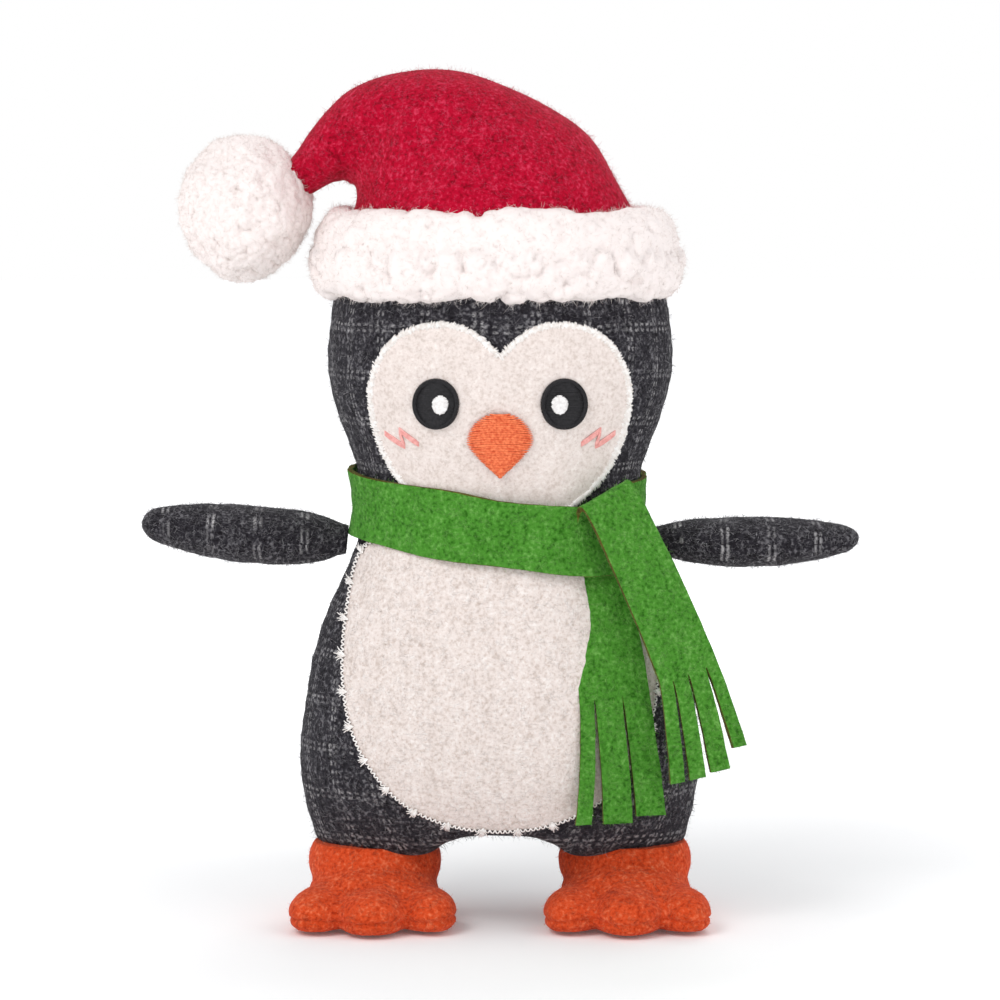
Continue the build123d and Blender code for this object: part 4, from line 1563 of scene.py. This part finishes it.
# ---------------------------------------------------------------- feet
@dataclass
class Foot:
    """A stuffed felt foot with three toes, and a seam low down round its front."""

    side: str
    sign: int
    fuzz: Pile = Pile(6500, (0.6 * MM, 1.8 * MM), 0.11 * MM, 0.4, 1.4, 1.4)
    spread: float = 44 * MM
    seam_height: float = 5.2

    # Middle, half sizes and turn of each part of the filling, in millimetres and degrees. Across is
    # outwards.
    LOBES = ((18.2, -27.0, 6.6, 10.6, 15.5, 8.6, 16), (-18.2, -27.0, 6.6, 10.6, 15.5, 8.6, -16),
             (0.0, -31.5, 6.8, 12.6, 16.0, 9.0, 0), (0.0, -12.0, 10.0, 23.0, 22.5, 13.0, 0),
             (0.0, -3.0, 20.0, 23.5, 20.0, 17.0, 0), (0.0, 8.0, 8.5, 21.0, 16.0, 10.0, 0))

    def build(self) -> bpy.types.Object:
        """Models the foot from rounded lobes, run together and drawn in at the seam.

        Returns:
            The foot.
        """
        parts = []
        for across, ahead, up, wide, deep, tall, turn in self.LOBES:
            bpy.ops.object.select_all(action="DESELECT")
            bpy.ops.mesh.primitive_uv_sphere_add(
                segments=48, ring_count=32, radius=1, location=(self.sign * (self.spread + across * MM), ahead * MM,
                                                                up * MM),
                rotation=(0, 0, math.radians(self.sign * turn)), scale=(wide * MM, deep * MM, tall * MM))
            bpy.ops.object.transform_apply(location=True, rotation=True, scale=True)
            parts.append(bpy.context.object)
        foot = joined(f"{self.side}_foot", parts)
        finish_with(foot, "REMESH", mode="VOXEL", voxel_size=1.4 * MM, use_smooth_shade=True)
        finish_with(foot, "SMOOTH", iterations=7, factor=0.5)
        finish_with(foot, "SUBSURF", levels=1, render_levels=1)
        points = points_of(foot)
        points[:, 2] = np.where(points[:, 2] < 1.5 * MM, 1.5 * MM - (1.5 * MM - points[:, 2]) * 0.35, points[:, 2])
        points[:, 2] = np.minimum(points[:, 2], 27.0 * MM)
        sculpt(foot, points)
        points, normals = points_of(foot), normals_of(foot)
        up = points[:, 2] / MM
        wave = self.seam_height + 0.5 * np.sin(points[:, 0] * 260)
        upright = np.clip(1.2 - np.abs(normals[:, 2]), 0, 1)
        seam = np.exp(-(((up - wave) / 0.8) ** 2)) * upright * 1.0
        lip = np.exp(-(((up - wave + 2.2) / 1.3) ** 2)) * upright * 0.5
        sculpt(foot, points - normals * ((seam - lip) * MM)[:, None])
        lumps(foot, 8 * MM, 0.7 * MM, 13)
        lowest = points_of(foot)
        lowest[:, 2] -= lowest[:, 2].min()
        sculpt(foot, lowest)
        smooth(foot)
        return foot

    def dress(self, foot: bpy.types.Object) -> None:
        """Finishes the foot and fixes it to the torso.

        Args:
            foot: the foot.
        """
        dress(foot, FOOT_FELT, "orange_felt")
        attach(foot, "torso")
        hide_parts(f"{self.side}_foot_upper", f"{self.side}_foot_sole", f"{self.side}_foot_filling")
        hair = fibres(f"{self.side}_foot_fuzz", foot, self.fuzz, 51 + self.sign,
                      lambda places, ups: places[:, 2] > 2 * MM)
        dress(hair, FOOT_HAIR, "orange_felt")
        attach(hair, "torso")


# ---------------------------------------------------------------- hat
@dataclass
class Hat:
    """A floppy felt cone that folds over to the right, its fleece brim and its pompom."""

    # Middle x, middle z, angle from level, half width, half depth, from the hem to the tip.
    stops: tuple = ((-0.2, 232, 0, 58.0, 38.0), (-1.5, 245, 1, 51.5, 38.2), (-4.5, 255.5, 5, 46.6, 37.0),
                    (-11, 266, 14, 41.6, 33.5), (-21, 272.6, 27, 35.0, 30.0), (-33.8, 277.0, 46, 27.0, 25.5),
                    (-45.2, 277.2, 66, 20.6, 21.0), (-54.0, 273.8, 84, 15.5, 15.4),
                    (-62.4, 267.4, 97, 11.2, 10.6), (-68.0, 261.0, 110, 7.6, 7.2),
                    (-74.5, 255.5, 118, 5.5, 5.2))
    brim_width: float = 131.0 * MM
    brim_depth: float = 95.0 * MM
    brim_low: float = 217.8 * MM
    brim_height: float = 32.0 * MM
    fuzz: Pile = Pile(22000, (1.2 * MM, 3.4 * MM), 0.10 * MM, 0.22, 1.4, 2.6, steps=5)
    curls: Pile = Pile(26000, (1.5 * MM, 3.4 * MM), 0.15 * MM, 0.3, 1.3, 3.6, steps=5)
    hanging: Pile = Pile(2200, (2.5 * MM, 5.5 * MM), 0.18 * MM, 0.6, 0.9, 2.0, 0.9, 4, 1.2)
    puff: Pile = Pile(20000, (1.2 * MM, 2.8 * MM), 0.13 * MM, 0.3, 1.3, 3.4, steps=5)

    def cone(self) -> bpy.types.Object:
        """Models the felt cone.

        Returns:
            The cone.
        """

        def shape(u: Array, v: Array) -> Array:
            """The place of each point round and along the cone.

            Args:
                u: each point's column, from 0 to 1.
                v: each point's row, from 0 to 1.

            Returns:
                The places, one row each.
            """
            at = through(np.array(self.stops), v)
            turn = u * 2 * math.pi
            lean = np.radians(at[:, 2])
            slack = np.sin(turn * 3 + v * 9) * 0.5 + np.sin(turn * 2 - v * 6) * 0.6
            half = (at[:, 3] + slack * (at[:, 3] > 14)) * MM
            deep = (at[:, 4] + slack * (at[:, 4] > 14)) * MM
            out = np.cos(turn) * half
            x = at[:, 0] * MM + out * np.cos(lean)
            z = at[:, 1] * MM + out * np.sin(lean)
            return np.stack([x, np.sin(turn) * deep, z], axis=1)

        cone = grid_piece("felt_cone", 128, 96, shape)
        weld(cone)
        points = points_of(cone)
        crease = np.exp(-(((points[:, 0] + 50 * MM) / (7 * MM)) ** 2)) * (points[:, 2] < 276 * MM)
        points[:, 1] *= 1 - 0.10 * crease
        sculpt(cone, points)
        lumps(cone, 17 * MM, 2.0 * MM, 9)
        finish_with(cone, "SMOOTH", iterations=6, factor=0.5)
        groove(cone, (36, 273), (51, 244), 2.4, 2.2)
        groove(cone, (-34, 290), (-50, 262), 6.0, 3.2)
        groove(cone, (-20, 288), (-34, 252), 7.0, 1.8)
        groove(cone, (4, 291), (24, 262), 8.0, 1.4)
        groove(cone, (-58, 276), (-48, 268), 3.0, 1.6)
        finish_with(cone, "SMOOTH", factor=0.5, iterations=8)
        finish_with(cone, "SOLIDIFY", thickness=1.0 * MM, offset=-1.0)
        smooth(cone)
        return cone

    def ring(self) -> bpy.types.Object:
        """Models the fat fleece ring round the hem.

        Returns:
            The ring.
        """

        def shape(u: Array, v: Array) -> Array:
            """The place of each point round and across the ring.

            Args:
                u: each point's column, from 0 to 1.
                v: each point's row, from 0 to 1.

            Returns:
                The places, one row each.
            """
            turn, roll = u * 2 * math.pi, v * 2 * math.pi
            thick = 6.0 * MM
            bulge = 1 + 0.03 * np.sin(turn * 7) + 0.02 * np.sin(turn * 13 + 1)
            out_x = self.brim_width / 2 - thick - 2 * MM
            out_y = self.brim_depth / 2 - thick - 2 * MM
            reach = thick * np.sign(np.cos(roll)) * np.abs(np.cos(roll)) ** 0.8 * bulge
            up = (self.brim_height / 2 - 1.5 * MM) * np.sign(np.sin(roll)) * np.abs(np.sin(roll)) ** 0.75
            taper = 1 - 0.06 * np.clip(up / self.brim_height * 2, 0, 1) ** 2
            x = np.sin(turn) * (out_x * taper + reach) - 1 * MM
            y = -np.cos(turn) * (out_y * taper + reach)
            return np.stack([x, y, self.brim_low + self.brim_height / 2 + up * bulge], axis=1)

        ring = grid_piece("fleece_brim", 340, 84, shape)
        weld(ring)
        lumps(ring, 14 * MM, 3.0 * MM, 4)
        tufts(ring, 2300, 2.9 * MM, 5)
        tufts(ring, 9000, 0.9 * MM, 6)
        smooth(ring)
        return ring

    def ball(self) -> bpy.types.Object:
        """Models the pompom.

        Returns:
            The pompom.
        """
        low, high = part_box("pompom_cover")
        middle = (Vector(low) + Vector(high)) / 2
        bpy.ops.object.select_all(action="DESELECT")
        bpy.ops.mesh.primitive_ico_sphere_add(subdivisions=7, radius=1)
        ball = bpy.context.object
        ball.name = "fleece_pompom"
        size = np.array([22.0, 21.0, 24.6]) * MM
        sculpt(ball, points_of(ball) * size + np.array(middle))
        lumps(ball, 13 * MM, 4.0 * MM, 6)
        tufts(ball, 900, 1.7 * MM, 7)
        tufts(ball, 3600, 0.7 * MM, 8)
        smooth(ball)
        return ball

    def build(self) -> None:
        """Builds and dresses the hat."""
        cone = self.cone()
        dress(cone, HAT_FELT, "red_felt")
        hair = fibres("felt_cone_fuzz", cone, self.fuzz, 61, lambda places, ups: places[:, 2] > 240 * MM)
        dress(hair, HAT_HAIR, "red_felt")
        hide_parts("hat_crown", "hat_tip")
        for piece in (cone, hair):
            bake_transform(piece)
        ring = self.ring()
        dress(ring, FLEECE, "fleece")
        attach(ring, "torso")
        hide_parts("hat_brim")
        for name, pile, seed, keep in (("brim_curls", self.curls, 62, None),
                                       ("brim_hanging_curls", self.hanging, 63,
                                        lambda places, ups: places[:, 2] < 224 * MM)):
            curls = fibres(name, ring, pile, seed, keep)
            dress(curls, FLEECE_HAIR, "fleece")
            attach(curls, "torso")
        ball = self.ball()
        dress(ball, FLEECE, "fleece")
        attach(ball, "pompom")
        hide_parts("pompom_cover", "pompom_filling")
        curls = fibres("pompom_curls", ball, self.puff, 64)
        dress(curls, FLEECE_HAIR, "fleece")
        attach(curls, "pompom")


# ---------------------------------------------------------------- scarf
@dataclass
class Scarf:
    """A felt scarf, crossed over itself at the left of the chest, with two fringed tails."""

    width: float = 23.0 * MM
    felt: float = 2.0 * MM
    level: float = 146.5 * MM
    fuzz: Pile = Pile(6500, (0.8 * MM, 2.6 * MM), 0.10 * MM, 0.35, 1.4, 2.2, steps=4)

    def wrap(self, skin: Skin) -> bpy.types.Object:
        """Models the strip round the neck, from the left shoulder round the back to the knot.

        Args:
            skin: the wool body.

        Returns:
            The strip.
        """
        # Angle from the front towards the left, height of the middle, and distance off the wool.
        stops = np.array([(67, 142.6, 2.2), (80, 143.6, 2.4), (102, 146.2, 2.4), (140, 147.5, 2.4),
                          (180, 147.5, 2.4), (225, 147.5, 2.4), (268, 147.2, 2.4), (302, 144.2, 2.8),
                          (332, 141.6, 3.2), (360, 139.0, 3.8), (390, 136.6, 4.8), (410, 135.4, 5.0),
                          (428, 134.6, 4.4)])

        def shape(u: Array, v: Array) -> Array:
            """The place of each point along and across the strip.

            Args:
                u: each point's column, from 0 to 1.
                v: each point's row, from 0 to 1.

            Returns:
                The places, one row each.
            """
            at = through(stops, u)
            turn = np.radians(at[:, 0])
            half = (v - 0.5) * self.width * (1 + 0.03 * np.sin(u * 31))
            wave = 0.6 * MM * np.sin(turn * 5 + v * 2) * (2 * v - 1)
            off = at[:, 2] * MM + wave + 0.5 * MM * np.sin(turn * 3)
            slope = np.clip((at[:, 0] - 268) / 60, 0, 1) * 0.14
            height = at[:, 1] * MM + half
            away = skin.around(turn + slope * half / (50 * MM), at[:, 1] * MM, off)
            side = skin.around(turn, height, off)
            share = 0.65
            return np.stack([away[:, 0] * (1 - share) + side[:, 0] * share,
                             away[:, 1] * (1 - share) + side[:, 1] * share, height], axis=1)

        strip = grid_piece("scarf_wrap_felt", 260, 12, shape)
        return self.thicken(strip)

    def thicken(self, strip: bpy.types.Object) -> bpy.types.Object:
        """Gives a strip of felt its thickness and its darker cut edge.

        Args:
            strip: a strip of felt.

        Returns:
            The same strip.
        """
        strip.data.materials.append(SCARF_FELT.material())
        strip.data.materials.append(CUT_EDGE.material())
        finish_with(strip, "SOLIDIFY", thickness=self.felt, offset=0.0, material_offset_rim=1)
        finish_with(strip, "BEVEL", width=0.4 * MM, segments=2, limit_method="ANGLE")
        lumps(strip, 6 * MM, 0.5 * MM, 8)
        smooth(strip)
        return strip

    def tail(self, name: str, path: list[tuple[float, float, float]], widths: tuple[float, float, float],
             slits: float, fold: float, backs: tuple[float, float],
             strands: tuple[tuple[float, float, float, float], ...]) -> bpy.types.Object:
        """Models a fringed tail.

        Args:
            name: the new object's name.
            path: the tail's middle line, in millimetres, one row per stop.
            widths: the width at the top, where the slits begin and at the ends, in millimetres.
            slits: the share of the path where the slits begin.
            fold: the share of the path up to which the felt is folded over.
            backs: how much the left side lies further back, at the top and at the ends.
            strands: the left and right edge of each strand as shares of the width, how far its end
                leans sideways in millimetres, and how much shorter it is, as a share.

        Returns:
            The tail.
        """
        line = np.array(path) * MM

        def frame_at(at: Array) -> tuple[Array, Array]:
            """The middle line's places and the directions across it.

            Args:
                at: shares of the length.

            Returns:
                The places and the directions.
            """
            here = through(line, at)
            flat = np.clip(at, fold, 1)
            ahead = through(line, np.clip(flat + 0.02, 0, 1)) - through(line, np.clip(flat - 0.02, 0, 1))
            across = np.stack([-ahead[:, 2], np.zeros(len(at)), ahead[:, 0]], axis=1)
            across /= np.linalg.norm(across, axis=1, keepdims=True)
            across[:, 1] = backs[0] + (backs[1] - backs[0]) * flat
            return here, across / np.linalg.norm(across, axis=1, keepdims=True)

        def wide(at: Array) -> Array:
            """The half width at a share of the length.

            Args:
                at: shares of the length.

            Returns:
                The half widths, in metres.
            """
            return np.interp(at, [0, slits, 1], widths) * MM / 2

        def cup(place: Array, amount: Array) -> Array:
            """How far the middle of the felt stands forward of its sides.

            Args:
                place: shares of the width.
                amount: how far, in millimetres.

            Returns:
                The moves, one row each.
            """
            return np.array([0, -1.0, 0]) * (np.cos((place - 0.5) * math.pi) * amount * MM)[:, None]

        columns, rows = 5 * len(strands), 64

        def shape(u: Array, v: Array) -> Array:
            """The place of each column and row. Every fifth column is the slit between two strands.

            Args:
                u: each point's column, from 0 to 1.
                v: each point's row, from 0 to 1.

            Returns:
                The places, one row each.
            """
            column = np.rint(u * (columns - 1)).astype(int)
            low, high, lean, short = np.array(strands).T[:, column // 5]
            cut = np.clip((v - slits) / (1 - slits), 0, 1)
            at = np.where(v > slits, slits + cut * (1 - short - slits), v)
            gap = 0.012 * np.clip(cut * 8, 0, 1)
            left = low + gap * (low > 0)
            right = high - gap * (high < 1)
            place = left + (right - left) * (column % 5) / 4
            here, across = frame_at(at)
            lift = (np.sin(cut * math.pi * 1.1 + (column // 5) * 1.3) * 0.9 + (column // 5 % 2) * 0.7) * cut
            shift = across * ((place - 0.5) * 2 * wide(at) + lean * MM * cut**1.4)[:, None]
            return here + shift + cup(place, (1.0 + 0.35 * np.sin(at * 15)) * (1 - 0.6 * cut) + lift)

        tail = grid_piece(name, columns - 1, rows, shape)
        first = int(slits * rows) + 1
        pick(tail)
        bpy.ops.object.mode_set(mode="EDIT")
        bpy.ops.mesh.select_mode(type="FACE")
        bpy.ops.mesh.select_all(action="DESELECT")
        bpy.ops.object.mode_set(mode="OBJECT")
        for face in tail.data.polygons:
            low = min(face.vertices)
            face.select = low // columns >= first and low % columns % 5 == 4
        bpy.ops.object.mode_set(mode="EDIT")
        bpy.ops.mesh.delete(type="FACE")
        bpy.ops.mesh.select_all(action="SELECT")
        bpy.ops.mesh.remove_doubles(threshold=0.02 * MM)
        bpy.ops.object.mode_set(mode="OBJECT")
        return self.thicken(tail)

    def build(self, skin: Skin) -> None:
        """Builds and dresses the scarf.

        Args:
            skin: the wool body.
        """
        wrap = self.wrap(skin)
        dress(wrap, None, "green_felt")
        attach(wrap, "torso")
        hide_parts("scarf_wrap")
        hair = fibres("scarf_wrap_fuzz", wrap, self.fuzz, 71)
        dress(hair, SCARF_HAIR, "green_felt")
        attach(hair, "torso")
        under = self.tail("scarf_tail_under_felt",
                          [(29.5, -26.2, 136), (30.6, -29.4, 125.4), (34.0, -32.0, 112.4), (36.6, -34.4, 99),
                           (38.7, -36.2, 85.1), (40.2, -37.6, 69), (41.1, -38.0, 54), (41.4, -37.8, 39.6)],
                          (22.4, 24.4, 27.4), 0.585, 0.0, (0.24, 0.20),
                          ((0.0, 0.215, -2.3, 0.0), (0.215, 0.61, 1.3, 0.0), (0.61, 1.0, 2.1, 0.03)))
        over = self.tail("scarf_tail_over_felt",
                         [(33.8, -28.0, 141), (34.4, -29.6, 148.4), (36.2, -33.6, 151.6), (40.6, -35.8, 144.5),
                          (46.0, -36.2, 133), (51.0, -36.8, 122.5), (56.2, -37.4, 111), (61.0, -38.0, 99.5),
                          (65.0, -38.4, 88.5), (68.4, -38.8, 73), (71.4, -39.0, 56.0)],
                         (21.0, 22.0, 25.0), 0.77, 0.3, (0.72, 0.25),
                         ((0.0, 0.22, -1.6, 0.0), (0.22, 0.48, -0.4, 0.0), (0.48, 0.79, 0.9, 0.01),
                          (0.79, 1.0, 2.6, 0.05)))
        for tail, body, node, top, long in ((under, "tail_under", "scarf_tail_under", 122.0, 0.094),
                                            (over, "tail_over", "scarf_tail_over", 149.0, 0.114)):
            dress(tail, None, "green_felt")
            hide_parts(node)
            hair = fibres(f"{node}_fuzz", tail, self.fuzz, 72 + len(body))
            dress(hair, SCARF_HAIR, "green_felt")
            for piece in (tail, hair):
                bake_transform(piece)


# ---------------------------------------------------------------- studio
@dataclass
class Studio:
    """A pale floor, soft light and the camera."""

    distance: float = 1.3125
    elevation: float = 5.5
    aim: float = 0.147

    def build(self) -> None:
        """Builds the studio."""
        bpy.ops.object.select_all(action="DESELECT")
        bpy.ops.mesh.primitive_circle_add(vertices=128, radius=6, fill_type="NGON")
        floor = bpy.context.object
        floor.name = "floor"
        made = bpy.data.materials.new("pale floor")
        made.use_nodes = True
        shader = made.node_tree.nodes["Principled BSDF"]
        shader.inputs["Base Color"].default_value = srgb(250, 250, 250)
        shader.inputs["Roughness"].default_value = 0.9
        shader.inputs["Specular IOR Level"].default_value = 0.0
        graph = Graph(made.node_tree, fresh=False)
        place = graph.node("ShaderNodeTexCoord")
        length = graph.node("ShaderNodeVectorMath", operation="LENGTH")
        graph.join(place.outputs["Object"], length.inputs[0])
        glow = graph.mix(graph.ramp(length.outputs["Value"], 0.12, 0.7), (0.10, 0.10, 0.10, 1), (1, 1, 1, 1))
        graph.join(glow, shader.inputs["Emission Color"])
        shader.inputs["Emission Strength"].default_value = 0.5
        floor.data.materials.append(made)
        world = bpy.data.worlds.new("studio")
        bpy.context.scene.world = world
        world.use_nodes = True
        graph = Graph(world.node_tree)
        lit = graph.node("ShaderNodeBackground")
        lit.inputs[0].default_value = (0.97, 0.98, 1.0, 1)
        lit.inputs[1].default_value = 0.70
        seen = graph.node("ShaderNodeBackground")
        seen.inputs[0].default_value = (1, 1, 1, 1)
        rays = graph.node("ShaderNodeLightPath")
        either = graph.node("ShaderNodeMixShader")
        sky = graph.node("ShaderNodeOutputWorld")
        graph.join(rays.outputs["Is Camera Ray"], either.inputs[0])
        graph.join(lit.outputs[0], either.inputs[1])
        graph.join(seen.outputs[0], either.inputs[2])
        graph.join(either.outputs[0], sky.inputs[0])
        for name, place, size, power in (("key", (-0.9, -1.1, 1.5), 0.9, 13), ("fill", (1.2, -0.9, 0.9), 1.1, 4),
                                         ("rim", (0.3, 1.2, 1.3), 0.9, 6)):
            light = bpy.data.lights.new(name, "AREA")
            light.size = size
            light.energy = power
            lamp = bpy.data.objects.new(name, light)
            lamp.location = place
            lamp.rotation_euler = (Vector((0, 0, 0.15)) - Vector(place)).to_track_quat("-Z", "Y").to_euler()
            bpy.context.scene.collection.objects.link(lamp)
        camera = bpy.data.cameras.new("camera")
        camera.lens = 135
        camera.sensor_width = 36
        eye = bpy.data.objects.new("camera", camera)
        turn = math.radians(self.elevation)
        eye.location = (0, -self.distance * math.cos(turn), self.aim + self.distance * math.sin(turn))
        eye.rotation_euler = (math.pi / 2 - turn, 0, 0)
        bpy.context.scene.collection.objects.link(eye)
        bpy.context.scene.camera = eye
        bpy.context.scene.view_settings.view_transform = "Standard"


def main() -> None:
    """Builds every piece in order."""
    Studio().build()
    body = Body()
    bag = body.build()
    body.dress(bag)
    skin = Skin(bag)
    face = Patch("face_felt", FACE_HALF, FACE_FELT, "cream_felt")
    belly = Patch("belly_wool", BELLY_HALF, BELLY_CLOTH, "oatmeal_wool")
    for patch, node in ((face, "face_patch"), (belly, "belly_patch")):
        patch.dress(patch.build(skin), [node])
    Embroidery(face, belly).build(skin)
    for side, sign, thickness, tilt in (("left", 1, 17.0 * MM, 0.5), ("right", -1, 20.0 * MM, 5.0)):
        wing = Wing(side, sign, thickness, tilt)
        wing.dress(wing.build())
        foot = Foot(side, sign)
        foot.dress(foot.build())
    Hat().build()
    Scarf().build(skin)
    bpy.ops.object.select_all(action="DESELECT")


if __name__ == "__main__":
    main()
